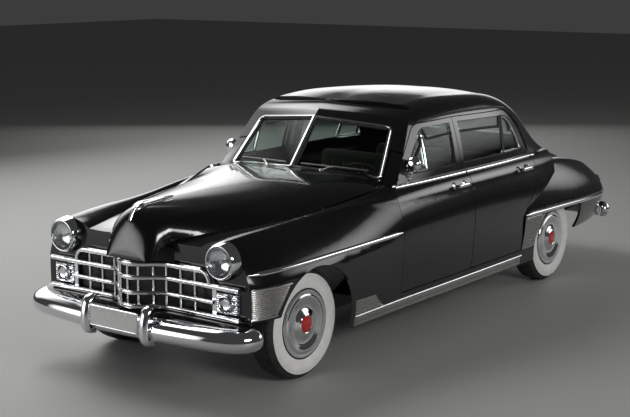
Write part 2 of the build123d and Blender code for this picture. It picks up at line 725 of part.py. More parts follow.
# Floor with its tunnel, the step behind the rear seat, the boot floor and the wheel houses
X_FLOOR_FRONT = X_HOOD_REAR - PANEL_GAP - 20
HOUSE_R = 402.0  # wheel houses
with BuildPart() as floor_pan:
    with BuildSketch(Plane.YZ.offset(X_STEP)):
        low = GROUND_FLOOR - FLOOR_T
        Polygon((-835, low), (-120, low), (-100, TUNNEL_Z), (100, TUNNEL_Z), (120, low), (835, low),
                (835, GROUND_FLOOR), (140, GROUND_FLOOR), (118, TUNNEL_Z + FLOOR_T),
                (-118, TUNNEL_Z + FLOOR_T), (-140, GROUND_FLOOR), (-835, GROUND_FLOOR), align=None)
    extrude(amount=X_FLOOR_FRONT - X_STEP)
    with Locations((X_STEP - FLOOR_T / 2, 0, (low + Z_TRUNK) / 2)):
        Box(FLOOR_T, 1240, Z_TRUNK - low)
    add(box_between((X_STEP - 3 * FLOOR_T, -80, 0), (X_STEP + FLOOR_T, 80, TUNNEL_Z - 20)), mode=Mode.SUBTRACT)
    with BuildSketch(Plane.XY.offset(Z_TRUNK)):
        Polygon((X_STEP, -620), (X_STEP, 620), (-1950, 620), (-1960, 738), (-2250, 690), (-2450, 640),
                (-2560, 600), (-2560, -600), (-2450, -640), (-2250, -690), (-1960, -738),
                (-1950, -620), align=None)
    extrude(amount=-FLOOR_T)
    for side in (1, -1):
        with Locations((X_REAR_AXLE, side * (600 + 300), TYRE_R)):
            Cylinder(HOUSE_R - 6, 600, rotation=(90, 0, 0), mode=Mode.SUBTRACT)
        with BuildPart(mode=Mode.PRIVATE) as house:
            with Locations((X_REAR_AXLE, side * 690, TYRE_R)):
                Cylinder(HOUSE_R, 180, rotation=(90, 0, 0))
            with Locations((X_REAR_AXLE, side * 706, TYRE_R)):
                Cylinder(HOUSE_R - 12, 190, rotation=(90, 0, 0), mode=Mode.SUBTRACT)
            add(box_between((-FAR, -FAR, -FAR), (X_STEP - FLOOR_T, FAR, Z_TRUNK - FLOOR_T)), mode=Mode.SUBTRACT)
            add(box_between((-FAR, -FAR, -FAR), (FAR, FAR, GROUND_FLOOR - FLOOR_T)), mode=Mode.SUBTRACT)
        add(house.part)
save(floor_pan.part, "floor_pan")

# Ladder frame: two rails with a kick-up over the rear axle, cross members and a towing pad
RAIL_IN = 370.0
RAIL_OUT = 428.0
RAIL_MID = GROUND_FLOOR - FLOOR_T
RAIL_REAR = Z_TRUNK - FLOOR_T
with BuildPart() as chassis_frame:
    for side in (1, -1):
        with BuildSketch(Plane.XZ.offset(-side * (RAIL_IN + RAIL_OUT) / 2)):
            Polygon((2520, RAIL_FRONT), (1190, RAIL_FRONT), (968, RAIL_MID), (X_STEP - 26, RAIL_MID),
                    (-1400, RAIL_REAR), (-2500, RAIL_REAR), (-2500, RAIL_REAR - 90),
                    (-1405, RAIL_REAR - 90), (X_STEP - 40, RAIL_MID - 100), (990, RAIL_MID - 100),
                    (1210, RAIL_FRONT - 90), (2520, RAIL_FRONT - 90), align=None)
        extrude(amount=(RAIL_OUT - RAIL_IN) / 2, both=True)
    for x, low, high in ((X_FRONT_AXLE, 300, RAIL_FRONT), (2360, 330, RAIL_FRONT), (60, 215, 290),
                         (-1000, 215, 290), (-2470, RAIL_REAR - 90, RAIL_REAR)):
        with Locations((x, 0, (low + high) / 2)):
            Box(110, 2 * RAIL_OUT, high - low)
    with Locations((-2540, 0, RAIL_REAR - 45)):
        Box(30, 240, 70)
save(chassis_frame.part, "chassis_frame")

# Engine as one plain block with its gearbox end
with BuildPart() as engine:
    with Locations((1720, 0, 660)):
        Box(860, 420, 480)
    with Locations((1130, 0, 560)):
        Box(330, 300, 240)
save(engine.part, "engine")

with BuildPart() as radiator:
    with Locations((2360, 0, 640)):
        Box(60, 640, 440)
save(radiator.part, "radiator")

# Driveline: propeller shaft, rear axle and leaf springs
with BuildPart() as driveline:
    shaft_front = Vector(965, 0, 420)
    shaft_rear = Vector(X_REAR_AXLE + 100, 0, TYRE_R)
    span = shaft_front - shaft_rear
    with BuildSketch(Plane(origin=shaft_rear, z_dir=span)):
        Circle(38)
    extrude(amount=span.length)
    with Locations((X_REAR_AXLE, 0, TYRE_R)):
        Cylinder(42, 2 * 620, rotation=(90, 0, 0))
        Cylinder(SPINDLE_R, 2 * 735, rotation=(90, 0, 0))
        Sphere(138)
    for side in (1, -1):
        with Locations((X_REAR_AXLE, side * 470, 255)):
            Box(1240, 64, 30)
        with Locations((X_REAR_AXLE, side * 470, 300)):
            Box(120, 80, 110)
        spring_y = (RAIL_OUT + SEAT_CLEAR, 502)
        for x, high in ((X_REAR_AXLE + 590, RAIL_MID - 2), (X_REAR_AXLE - 590, RAIL_REAR - 2)):
            low_y, high_y = spring_y if side > 0 else (-spring_y[1], -spring_y[0])
            add(box_between((x - 30, low_y, 240), (x + 30, high_y, high)))
save(driveline.part, "driveline")

# Front suspension arms and knuckles
KINGPIN_Y = 664.0
KINGPIN_R = 13.0
ARM_Z = (262.0, 424.0)  # undersides of the lower and the upper arm
ARM_T = 24.0
RUNNING = 0.5  # gap of a pin in its bore
with BuildPart() as front_suspension:
    for side in (1, -1):
        for z in ARM_Z:
            with BuildSketch(Plane.XY.offset(z)):
                Polygon((X_FRONT_AXLE - 150, side * (RAIL_OUT + SEAT_CLEAR)),
                        (X_FRONT_AXLE + 150, side * (RAIL_OUT + SEAT_CLEAR)),
                        (X_FRONT_AXLE + 26, side * KINGPIN_Y), (X_FRONT_AXLE - 26, side * KINGPIN_Y),
                        align=None)
                with Locations((X_FRONT_AXLE, side * KINGPIN_Y)):
                    Circle(26)
                    Circle(KINGPIN_R + RUNNING, mode=Mode.SUBTRACT)
            extrude(amount=ARM_T)
        with Locations((X_FRONT_AXLE, side * (RAIL_OUT + 50 + SEAT_CLEAR), 350)):
            Cylinder(50, 190)
save(front_suspension.part, "front_suspension")

for side, name in ((1, "left"), (-1, "right")):
    with BuildPart() as knuckle:
        with Locations((X_FRONT_AXLE, side * KINGPIN_Y, (ARM_Z[0] + ARM_Z[1] + ARM_T) / 2)):
            Cylinder(KINGPIN_R, ARM_Z[1] - ARM_Z[0] + ARM_T + 12)
            Cylinder(24, ARM_Z[1] - ARM_Z[0] - ARM_T - 12)
        with Locations((X_FRONT_AXLE, side * (KINGPIN_Y + 22), TYRE_R)):
            Cylinder(SPINDLE_R, 84, rotation=(90, 0, 0))
        with Locations((X_FRONT_AXLE - 60, side * KINGPIN_Y, 310)):
            Box(110, 26, 26)
    save(knuckle.part, f"knuckle_{name}")

# Exhaust and fuel tank
with BuildPart() as exhaust:
    with Locations((-300, -280, 185)):
        Cylinder(24, 2600, rotation=(0, 90, 0))
    with Locations((-470, -280, 185)):
        Cylinder(55, 620, rotation=(0, 90, 0))
    add(box_between((-260, -292, 190), (-220, -268, GROUND_FLOOR - FLOOR_T - SEAT_CLEAR)))
save(exhaust.part, "exhaust")

with BuildPart() as fuel_tank:
    with Locations((-2180, 0, RAIL_REAR - 95)):
        Box(460, 700, 190)
    fillet(fuel_tank.edges().filter_by(Axis.Z), 50)
save(fuel_tank.part, "fuel_tank")

# A rounded bar that follows a line across the car
def bar_start(path):
    """Plane square to the start of a path, with its first axis pointing away from the car."""
    along = path.tangent_at(0)
    return Plane(origin=path.position_at(0), x_dir=along.cross(Vector(0, 0, 1)), z_dir=along)


# Grille: four rounded bars that bulge in the middle, and upright bars between them
GRILLE_BARS = [
    # middle height, half width, half height
    (770, 502, 18),
    (684, 800, 16),
    (588, 600, 14),
    (500, 800, 17),
]
GRILLE_X = 2458.0  # middle of the bars at their ends
GRILLE_BULGE = 116.0
GRILLE_DEPTH = 34.0
CORNER_DEPTH = 29.0  # bars that close the top corners
CORNER_HEIGHT = 27.0
BULGE_HALF = 265.0
UPRIGHTS = (0, 74, 148, 222, 335, 450)  # y of the upright bars
TURN = 2 * atan2(GRILLE_BULGE, BULGE_HALF)  # how far a bar turns at the bulge's flank


def bulge_at(y):
    """How far a bar stands forward of its ends, at a place across the car."""
    reach = min(abs(y), BULGE_HALF)
    radius = BULGE_HALF / 2 / sin(TURN)
    if reach < BULGE_HALF / 2:
        return GRILLE_BULGE - radius + (radius**2 - reach**2) ** 0.5
    return radius - (radius**2 - (BULGE_HALF - reach) ** 2) ** 0.5


def bar_path(z, half):
    """Line along one bar: straight ends and a smooth bulge."""
    side, tip = GRILLE_X, GRILLE_X + GRILLE_BULGE
    flank = (side + tip) / 2
    with BuildLine() as line:
        Line((side, -half), (side, -BULGE_HALF))
        TangentArc((side, -BULGE_HALF), (flank, -BULGE_HALF / 2), tangent=(0, 1))
        TangentArc((flank, -BULGE_HALF / 2), (tip, 0), tangent=(sin(TURN), cos(TURN)))
        TangentArc((tip, 0), (flank, BULGE_HALF / 2), tangent=(0, 1))
        TangentArc((flank, BULGE_HALF / 2), (side, BULGE_HALF), tangent=(-sin(TURN), cos(TURN)))
        Line((side, BULGE_HALF), (side, half))
    return line.wires()[0].moved(Location((0, 0, z)))


with BuildPart() as grille:
    for z, half, rise in GRILLE_BARS:
        path = bar_path(z, half)
        with BuildSketch(bar_start(path)):
            RectangleRounded(GRILLE_DEPTH, 2 * rise, 0.75 * rise)
        sweep(path=path)
    for side in (1, -1):
        with BuildLine(Plane.YZ.offset(GRILLE_X)) as corner_line:
            ThreePointArc((side * 493, GRILLE_BARS[0][0] - 1), (side * 546, 747), (side * 567, GRILLE_BARS[1][0] + 3))
        path = corner_line.wires()[0]
        with BuildSketch(bar_start(path)):
            RectangleRounded(CORNER_DEPTH, CORNER_HEIGHT, 10)
        sweep(path=path)
    low, high = GRILLE_BARS[-1][0], GRILLE_BARS[0][0]
    for y in UPRIGHTS:
        for side in ((1, -1) if y else (1,)):
            with BuildSketch(Plane.XY.offset(low)):
                with Locations((GRILLE_X + bulge_at(y) - 6, side * y)):
                    RectangleRounded(26, 15, 6)
            extrude(amount=high - low)
    for side in (1, -1):
        add(box_between((X_LAMP_FACE, side * 592 - 15, 492), (X_LAMP_FACE + 16, side * 592 + 15, 688)))
save(grille.part, "grille")

# Lamps
LAMP_Y = 669.0
LAMP_Z = 845.0
LAMP_R = 92.0
PARKING_Y = 695.0
PARKING_Z = 590.0
RIM_PROFILE = [(60, 0), (67, 6), (62, 14), (38, 24), (0, 30)]  # (x, r) from the glass to the panel
with BuildPart() as headlamp_rims:
    for side in (1, -1):
        with BuildSketch(Plane.XY.offset(LAMP_Z)):
            with BuildLine():
                points = [(X_LAMP_FACE + x, side * (LAMP_Y + LAMP_R + r)) for x, r in RIM_PROFILE]
                Polyline(points[-1], (X_LAMP_FACE, side * (LAMP_Y + LAMP_R)), points[0])
                ThreePointArc(*points[0:3])
                ThreePointArc(*points[2:5])
            make_face()
        revolve(axis=Axis((0, side * LAMP_Y, LAMP_Z), (1, 0, 0)))
save(headlamp_rims.part, "headlamp_rims")

with BuildPart() as headlamp_lenses:
    for side in (1, -1):
        with BuildSketch(Plane.XY.offset(LAMP_Z)):
            with BuildLine():
                Line((X_LAMP_FACE, side * LAMP_Y), (X_LAMP_FACE + 80, side * LAMP_Y))
                ThreePointArc((X_LAMP_FACE + 80, side * LAMP_Y), (X_LAMP_FACE + 75, side * LAMP_Y + 48),
                              (X_LAMP_FACE + 58, side * LAMP_Y + LAMP_R - GLASS_CLEAR))
                Line((X_LAMP_FACE + 58, side * LAMP_Y + LAMP_R - GLASS_CLEAR),
                     (X_LAMP_FACE, side * LAMP_Y + LAMP_R - GLASS_CLEAR))
                Line((X_LAMP_FACE, side * LAMP_Y + LAMP_R - GLASS_CLEAR), (X_LAMP_FACE, side * LAMP_Y))
            make_face()
        revolve(axis=Axis((0, side * LAMP_Y, LAMP_Z), (1, 0, 0)))
save(headlamp_lenses.part, "headlamp_lenses")

with BuildPart() as parking_lamps:
    for side in (1, -1):
        with Locations((X_LAMP_FACE + 14, side * PARKING_Y, PARKING_Z)):
            Box(28, 165, 130)
        with Locations((X_LAMP_FACE + 30, side * PARKING_Y, PARKING_Z)):
            Cylinder(50, 30, rotation=(0, 90, 0))
save(parking_lamps.part, "parking_lamps")

TAIL_LAMP = (-2470.0, 762.0, 700.0)
with BuildPart() as tail_lamps:
    for side in (1, -1):
        with Locations((TAIL_LAMP[0] - 22, side * TAIL_LAMP[1], TAIL_LAMP[2])):
            Cylinder(46, 44, rotation=(0, 90, 0))
    fillet(tail_lamps.edges().group_by(Axis.X)[0], 20)
save(tail_lamps.part, "tail_lamps")

# Bumpers: a rounded bar that wraps round the corners, upright guards and brackets from the frame
BUMPERS = [
    # name, overall face x, half width of the middle, corner x, tip x, tip half width, low, high,
    # guard's place, bracket's start, bracket's height
    ("front", X_NOSE, 560, 2630, 2390, 912, 330, 500, 255, 2520, RAIL_FRONT - 45),
    ("rear", -X_TAIL, 560, 2652, 2530, 875, 385, 540, 330, 2525, RAIL_REAR - 45),
]
BUMPER_DEPTH = 62.0
GUARD_PROUD = 16.0
GUARD_HALF = 32.0
for name, reach, half, corner, tip, tip_half, low, high, guard_y, bracket_x, bracket_z in BUMPERS:
    middle = (low + high) / 2
    rise = (high - low) / 2
    face = reach - GUARD_PROUD
    back = BUMPER_DEPTH / 2
    sagitta = face - corner
    radius = (half**2 + sagitta**2) / (2 * sagitta)
    lead = (-half / radius, 1 - sagitta / radius)
    with BuildLine() as bar_line:
        TangentArc((corner - back, -half), (tip, -tip_half), tangent=(lead[0], -lead[1]))
        ThreePointArc((corner - back, -half), (face - back, 0), (corner - back, half))
        TangentArc((corner - back, half), (tip, tip_half), tangent=lead)
    path = bar_line.wires()[0].moved(Location((0, 0, middle)))
    with BuildPart() as bumper:
        with BuildSketch(bar_start(path)):
            with BuildLine():
                Line((-back, 14 - rise), (-back, rise - 14))
                ThreePointArc((-back, rise - 14), (-18, rise), (10, rise - 18))
                ThreePointArc((10, rise - 18), (back, 0), (10, 18 - rise))
                ThreePointArc((10, 18 - rise), (-18, -rise), (-back, 14 - rise))
            make_face()
        sweep(path=path)
        for side in (1, -1):
            with BuildPart(mode=Mode.PRIVATE) as guard:
                with BuildSketch(Plane.XZ.offset(-side * guard_y)):
                    with BuildLine():
                        Line((face - 50, low - 26), (face - 50, high + 20))
                        Line((face - 50, high + 20), (face - 36, high + 44))
                        ThreePointArc((face - 36, high + 44), (reach - 8, high + 22), (reach - 3, high - 20))
                        Line((reach - 3, high - 20), (reach, low + 10))
                        ThreePointArc((reach, low + 10), (reach - 16, low - 26), (face - 50, low - 26))
                    make_face()
                extrude(amount=GUARD_HALF, both=True)
                fillet(guard.faces().filter_by(Axis.Y).edges(), 13)
            add(guard.part)
            inner = reach - GUARD_PROUD - BUMPER_DEPTH - 30
            with Locations(((bracket_x + inner) / 2, side * (RAIL_IN + RAIL_OUT) / 2, bracket_z)):
                Box(inner - bracket_x, 40, 60)
            with Locations((inner + 12, side * (RAIL_IN + RAIL_OUT) / 2, bracket_z)):
                Box(50, 40, 60)
    placed = bumper.part if name == "front" else mirror(bumper.part, about=Plane.YZ)
    save(placed, f"{name}_bumper")

# Seats: rounded cushions and backs on plain bases
SEATS = [
    # name, cushion's middle x, length, half width, base's x and length, back's side outline
    ("front_seat", 40, 520, 690, 30, 430, [(-165, 500), (-255, 500), (-420, 1105), (-325, 1125), (-205, 690)]),
    ("rear_seat", -760, 480, 680, -780, 400, [(-930, 500), (-1060, 500), (-1190, 1070), (-1090, 1085), (-970, 690)]),
]
CUSHION = (490.0, 680.0)  # lowest and highest z
CUSHION_ROUND = 55.0
BACK_ROUND = 28.0
for name, x, length, half, base_x, base_length, back_outline in SEATS:
    with BuildPart() as seat:
        with BuildPart(mode=Mode.PRIVATE) as cushion:
            with Locations((x, 0, sum(CUSHION) / 2)):
                Box(length, 2 * half, CUSHION[1] - CUSHION[0])
            fillet(cushion.faces().sort_by(Axis.Z)[-1].edges(), CUSHION_ROUND)
        add(cushion.part)
        with BuildPart(mode=Mode.PRIVATE) as back:
            with BuildSketch(Plane.XZ):
                Polygon(back_outline, align=None)
            extrude(amount=half - 20, both=True)
            fillet(back.edges(), BACK_ROUND)
        add(back.part)
        for side in (1, -1):
            with Locations((base_x, side * 400, (GROUND_FLOOR + CUSHION[0] + 20) / 2)):
                Box(base_length, 440, CUSHION[0] + 20 - GROUND_FLOOR)
    save(seat.part, name)

# Dashboard with the steering column
COLUMN_TILT = 28.0
WHEEL_R = 214.0
WHEEL_RIM_R = 11.0
WHEEL_HUB = Vector(520, 380, 990)
COLUMN_DIR = Vector(-cos(COLUMN_TILT * pi / 180), 0, sin(COLUMN_TILT * pi / 180))
with BuildPart() as dashboard:
    with BuildSketch(Plane.XZ):
        Polygon((X_FLOOR_FRONT, 860), (X_FLOOR_FRONT, 1040), (800, 1085), (700, 1060), (680, 960),
                (720, 860), align=None)
    extrude(amount=700, both=True)
    fillet(dashboard.edges().filter_by(Axis.Y).sort_by(Axis.X)[:4], 20)
    with BuildSketch(Plane(origin=WHEEL_HUB - COLUMN_DIR * (39 + RUNNING), z_dir=COLUMN_DIR)):
        Circle(26)
    extrude(amount=-330)
save(dashboard.part, "dashboard")

with BuildPart() as steering_wheel:
    with BuildSketch(Plane(origin=WHEEL_HUB, x_dir=(0, 1, 0), z_dir=COLUMN_DIR)):
        Rectangle(430, 24)
        with Locations((0, -100)):
            Rectangle(24, 220)
        Circle(45)
    extrude(amount=7, both=True)
    add(Solid.make_torus(WHEEL_R, WHEEL_RIM_R, Plane(origin=WHEEL_HUB, z_dir=COLUMN_DIR)))
    with BuildSketch(Plane(origin=WHEEL_HUB - COLUMN_DIR * 39, z_dir=COLUMN_DIR)):
        Circle(32)
    extrude(amount=60)
save(steering_wheel.part, "steering_wheel")

# Tyres and wheels
BORE_R = SPINDLE_R + RUNNING
COVER_PROFILE = [
    # r, w of the cover's face from its edge to its middle
    (217, 88), (213, 96), (196, 93), (176, 99), (150, 92), (118, 84), (92, 92), (66, 104), (30, 108),
]
WHEEL_BACK = [
    # r, w of the disc and rim from the middle outward
    (0, 108), (0, 20), (BORE_R, 20), (BORE_R, -20), (150, -20), (168, -86), (199, -86), (199, 86),
]
TYRE_PROFILE = [(200, 72), (216, 80), (242, 93), (290, 98), (335, 82), (352, 58), (355, 0)]
for where, x, track in (("front", X_FRONT_AXLE, TRACK_FRONT), ("rear", X_REAR_AXLE, TRACK_REAR)):
    for side, name in ((1, "left"), (-1, "right")):
        centre = Vector(x, side * track / 2, TYRE_R)
        with BuildPart() as tyre:
            with BuildSketch(Plane(origin=centre, x_dir=(1, 0, 0), z_dir=(0, 0, 1))):
                with BuildLine():
                    keys = [(r, w) for r, w in TYRE_PROFILE]
                    keys = keys + [(r, -w) for r, w in keys[-2::-1]]
                    scale = TYRE_WIDTH / 196.0
                    points = [(r * TYRE_R / 355.0, w * scale) for r, w in chain(keys, 0)]
                    arcs(points)
                    Line(points[-1], points[0])
                make_face()
            revolve(axis=Axis(centre, (0, 1, 0)))
        save(tyre.part, f"tyre_{where}_{name}")
        with BuildPart() as wheel:
            with BuildSketch(Plane(origin=centre, x_dir=(1, 0, 0), z_dir=(0, 0, 1))):
                with BuildLine():
                    arcs([(r, side * w) for r, w in chain(COVER_PROFILE, 0)])
                    back = [(r, side * w) for r, w in WHEEL_BACK]
                    cover = [(r, side * w) for r, w in COVER_PROFILE]
                    Polyline([cover[-1]] + back + [cover[0]])
                make_face()
            revolve(axis=Axis(centre, (0, 1, 0)))
        save(wheel.part, f"wheel_{where}_{name}")
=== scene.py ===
# %% [markdown]
# # A black sedan of about 1950
#
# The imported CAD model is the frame: every panel, wheel and hinge is already in place, in metres,
# with +X forward, +Y to the car's left and +Z up. This lesson gives each panel its finish, adds the
# bright trim that lies on the panels, dresses the wheels and the cabin, and lights the car.

import json
import math

import bmesh
import bpy
import numpy as np
from mathutils import Matrix, Vector
from mathutils.bvhtree import BVHTree


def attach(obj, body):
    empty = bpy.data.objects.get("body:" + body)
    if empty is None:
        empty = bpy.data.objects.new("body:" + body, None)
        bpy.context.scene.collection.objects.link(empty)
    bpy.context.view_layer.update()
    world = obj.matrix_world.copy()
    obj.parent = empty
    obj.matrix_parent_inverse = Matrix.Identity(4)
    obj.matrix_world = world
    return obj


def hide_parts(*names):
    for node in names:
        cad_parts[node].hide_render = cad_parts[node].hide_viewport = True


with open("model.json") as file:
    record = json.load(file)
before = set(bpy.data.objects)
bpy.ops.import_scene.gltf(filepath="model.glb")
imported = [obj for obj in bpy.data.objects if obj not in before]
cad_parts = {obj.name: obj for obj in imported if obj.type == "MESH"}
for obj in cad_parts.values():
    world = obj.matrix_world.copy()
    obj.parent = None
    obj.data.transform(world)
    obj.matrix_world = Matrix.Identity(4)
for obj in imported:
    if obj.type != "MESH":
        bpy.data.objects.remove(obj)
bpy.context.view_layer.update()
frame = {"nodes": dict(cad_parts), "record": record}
NODES = frame["nodes"]

# %% [markdown]
# The camera stands to the left of the nose, a little above the roof, with a long lens. Its place
# was solved from the wheels, lamps and windscreen corners, so it is set by a position and two
# angles instead of by aiming at the car.

# %% Camera
CAMERA_PLACE = (8.191, 5.608, 2.558)
CAMERA_YAW = math.radians(-143.396)
CAMERA_PITCH = math.radians(-10.458)
SENSOR_MM = 36.0
FOCAL_PX, PHOTO_WIDTH_PX = 1310.85, 630

camera_data = bpy.data.cameras.new("camera")
camera_data.sensor_width = SENSOR_MM
camera_data.lens = FOCAL_PX / PHOTO_WIDTH_PX * SENSOR_MM
camera = bpy.data.objects.new("camera", camera_data)
bpy.context.scene.collection.objects.link(camera)
looking = Vector((math.cos(CAMERA_PITCH) * math.cos(CAMERA_YAW),
                  math.cos(CAMERA_PITCH) * math.sin(CAMERA_YAW),
                  math.sin(CAMERA_PITCH)))
camera.location = CAMERA_PLACE
camera.rotation_euler = looking.to_track_quat("-Z", "Y").to_euler()
bpy.context.scene.camera = camera
print("lens", round(camera_data.lens, 1), "mm")

# %% [markdown]
# Gloss black shows only what it reflects, so the lamps are placed by asking where each panel looks. The
# roof and the hood's top look low behind the car, the prow looks to the front right, and the shoulders
# look high to the rear. Soft lamps stand in those places, the rest stays dark, and one lamp at the left
# lights the white tyres. Each lamp fades from its middle to its edges, so that no reflection ends in a hard
# line. The floor is plain and pale.

# %% Floor, lamps and world
bpy.context.scene.view_settings.view_transform = "Standard"
FADE_GAIN = 36.0  # one over the mean of u (1 - u) v (1 - v) on a lamp
WORLD_GREY = 0.045
FLOOR_HALF = 40.0


def fade_to_edges(data):
    """Lets a lamp's light fall off from its middle to its edges, as a softbox does; its power stays."""
    data.use_nodes = True
    tree = data.node_tree
    place = tree.nodes.new("ShaderNodeNewGeometry")
    split = tree.nodes.new("ShaderNodeSeparateXYZ")
    tree.links.new(place.outputs["Parametric"], split.inputs["Vector"])

    def math_node(operation, first, second):
        node = tree.nodes.new("ShaderNodeMath")
        node.operation = operation
        for socket, value in zip(node.inputs, (first, second)):
            if isinstance(value, float):
                socket.default_value = value
            else:
                tree.links.new(value, socket)
        return node.outputs["Value"]

    def fade(axis):
        share = split.outputs[axis]
        return math_node("MULTIPLY", share, math_node("SUBTRACT", 1.0, share))

    strength = math_node("MULTIPLY", math_node("MULTIPLY", fade("X"), fade("Y")), FADE_GAIN)
    tree.links.new(strength, tree.nodes["Emission"].inputs["Strength"])


def soft_lamp(name, place, target, size, power):
    """One rectangular soft lamp that faces a point."""
    data = bpy.data.lights.new(name, "AREA")
    data.shape = "RECTANGLE"
    data.size, data.size_y = size
    data.energy = power
    fade_to_edges(data)
    lamp = bpy.data.objects.new(name, data)
    bpy.context.scene.collection.objects.link(lamp)
    lamp.location = place
    lamp.rotation_euler = (Vector(target) - Vector(place)).to_track_quat("-Z", "Y").to_euler()
    return lamp


LAMPS = [
    # name, place, target, size, watts
    ("overhead", (0.6, -4.3, 6.2), (0.2, 0.0, 0.2), (7.0, 4.0), 300),
    ("right_bank", (-1.5, -7.5, 3.8), (0.0, 0.0, 0.9), (11.0, 5.0), 200),
    ("front_bank", (7.0, -3.9, 1.5), (2.0, 0.0, 0.7), (5.5, 3.8), 110),
    ("back_bank", (-9.0, -6.8, 2.5), (0.0, 0.0, 1.0), (11.0, 4.2), 95),
    ("left_key", (3.5, 8.0, 3.8), (0.8, 0.0, 0.5), (5.0, 1.8), 260),
    ("rear_left_bank", (-7.0, 5.5, 3.7), (0.0, 0.6, 0.9), (9.0, 4.2), 170),
]
for row in LAMPS:
    soft_lamp(*row).visible_camera = False

world = bpy.data.worlds.new("studio")
world.use_nodes = True
backdrop = world.node_tree.nodes["Background"]
backdrop.inputs["Color"].default_value = (WORLD_GREY, WORLD_GREY, WORLD_GREY, 1)
bpy.context.scene.world = world

floor_mesh = bpy.data.meshes.new("floor")
floor_mesh.from_pydata([(-FLOOR_HALF, -FLOOR_HALF, 0), (FLOOR_HALF, -FLOOR_HALF, 0),
                        (FLOOR_HALF, FLOOR_HALF, 0), (-FLOOR_HALF, FLOOR_HALF, 0)], [], [(0, 1, 2, 3)])
floor = bpy.data.objects.new("floor", floor_mesh)
bpy.context.scene.collection.objects.link(floor)
print("lamps", len(LAMPS))

# %% [markdown]
# Each finish is a short node material. A base shader carries the plain values; noise in object space
# adds the detail that the real surface has: orange peel in the lacquer, buffing marks in the chrome,
# pores in the rubber.


# %% Finishes: helpers
def new_finish(name, color, roughness, metallic=0.0, **sockets):
    """A material with one principled shader; returns the material, its tree and the shader."""
    material = bpy.data.materials.new(name)
    material.use_nodes = True
    tree = material.node_tree
    shader = tree.nodes["Principled BSDF"]
    shader.inputs["Base Color"].default_value = (*color, 1)
    shader.inputs["Roughness"].default_value = roughness
    shader.inputs["Metallic"].default_value = metallic
    for socket, value in sockets.items():
        shader.inputs[socket.replace("_", " ")].default_value = value
    return material, tree, shader


def noise_node(tree, scale, detail=3.0, stretch=(1, 1, 1)):
    """Noise in object space; scale is in features per metre."""
    coordinates = tree.nodes.new("ShaderNodeTexCoord")
    mapping = tree.nodes.new("ShaderNodeMapping")
    mapping.inputs["Scale"].default_value = stretch
    noise = tree.nodes.new("ShaderNodeTexNoise")
    noise.inputs["Scale"].default_value = scale
    noise.inputs["Detail"].default_value = detail
    tree.links.new(coordinates.outputs["Object"], mapping.inputs["Vector"])
    tree.links.new(mapping.outputs["Vector"], noise.inputs["Vector"])
    return noise


def add_bump(tree, shader, height, strength, distance):
    """Feeds a height into the shader's normal."""
    bump = tree.nodes.new("ShaderNodeBump")
    bump.inputs["Strength"].default_value = strength
    bump.inputs["Distance"].default_value = distance
    tree.links.new(height, bump.inputs["Height"])
    tree.links.new(bump.outputs["Normal"], shader.inputs["Normal"])


def vary(tree, shader, socket, factor, low, high):
    """Spreads a shader value between two limits by a factor."""
    span = tree.nodes.new("ShaderNodeMapRange")
    span.inputs["To Min"].default_value = low
    span.inputs["To Max"].default_value = high
    tree.links.new(factor, span.inputs["Value"])
    tree.links.new(span.outputs["Result"], shader.inputs[socket])


def mix_colors(tree, shader, factor, first, second, low=0.35, high=0.65):
    """Blends two colours by a factor into the base colour."""
    ramp = tree.nodes.new("ShaderNodeValToRGB")
    ramp.color_ramp.elements[0].position = low
    ramp.color_ramp.elements[0].color = (*first, 1)
    ramp.color_ramp.elements[1].position = high
    ramp.color_ramp.elements[1].color = (*second, 1)
    tree.links.new(factor, ramp.inputs["Fac"])
    tree.links.new(ramp.outputs["Color"], shader.inputs["Base Color"])


# %% Finishes: paint and bright metal
def lacquer():
    """Gloss black coach paint: deep black under a clear coat with faint orange peel."""
    material, tree, shader = new_finish("black_lacquer", (0.004, 0.004, 0.0045), 0.3,
                                        Coat_Weight=1.0, Coat_Roughness=0.05, Specular_IOR_Level=0.1)
    peel = noise_node(tree, 170, 2)
    dust = noise_node(tree, 7, 4)
    vary(tree, shader, "Roughness", dust.outputs["Fac"], 0.18, 0.32)
    add_bump(tree, shader, peel.outputs["Fac"], 0.03, 0.0006)
    return material


def bright_metal(name, color, low, high, stretch=(1, 1, 1)):
    """Plated or polished metal with fine buffing marks."""
    material, tree, shader = new_finish(name, color, (low + high) / 2, 1.0)
    marks = noise_node(tree, 90, 4, stretch)
    vary(tree, shader, "Roughness", marks.outputs["Fac"], low, high)
    return material


LACQUER = lacquer()
CHROME = bright_metal("chrome_plate", (0.86, 0.87, 0.89), 0.03, 0.09)
STAINLESS = bright_metal("satin_stainless", (0.46, 0.45, 0.43), 0.22, 0.34, (0.3, 1, 6))
MIRROR_GLASS = bright_metal("mirror_glass", (0.82, 0.84, 0.85), 0.01, 0.03)


# %% Finishes: glass and lenses
def clear_glass(name, color, roughness=0.0):
    """Glass that lets the view through and keeps its gloss."""
    material, tree, shader = new_finish(name, color, roughness, 0.0, Transmission_Weight=1.0, IOR=1.2)
    haze = noise_node(tree, 12, 3)
    vary(tree, shader, "Roughness", haze.outputs["Fac"], roughness, roughness + 0.03)
    return material


GLASS = clear_glass("window_glass", (0.62, 0.70, 0.66))


def fluted_lens():
    """Pressed headlamp glass with upright flutes."""
    material, tree, shader = new_finish("fluted_lens", (0.93, 0.95, 0.96), 0.02, 0.0,
                                        Transmission_Weight=1.0, IOR=1.3)
    coordinates = tree.nodes.new("ShaderNodeTexCoord")
    flutes = tree.nodes.new("ShaderNodeTexWave")
    flutes.wave_type = "BANDS"
    flutes.bands_direction = "Y"
    flutes.inputs["Scale"].default_value = 24.0
    tree.links.new(coordinates.outputs["Object"], flutes.inputs["Vector"])
    add_bump(tree, shader, flutes.outputs["Fac"], 0.5, 0.002)
    vary(tree, shader, "Roughness", flutes.outputs["Fac"], 0.01, 0.06)
    return material


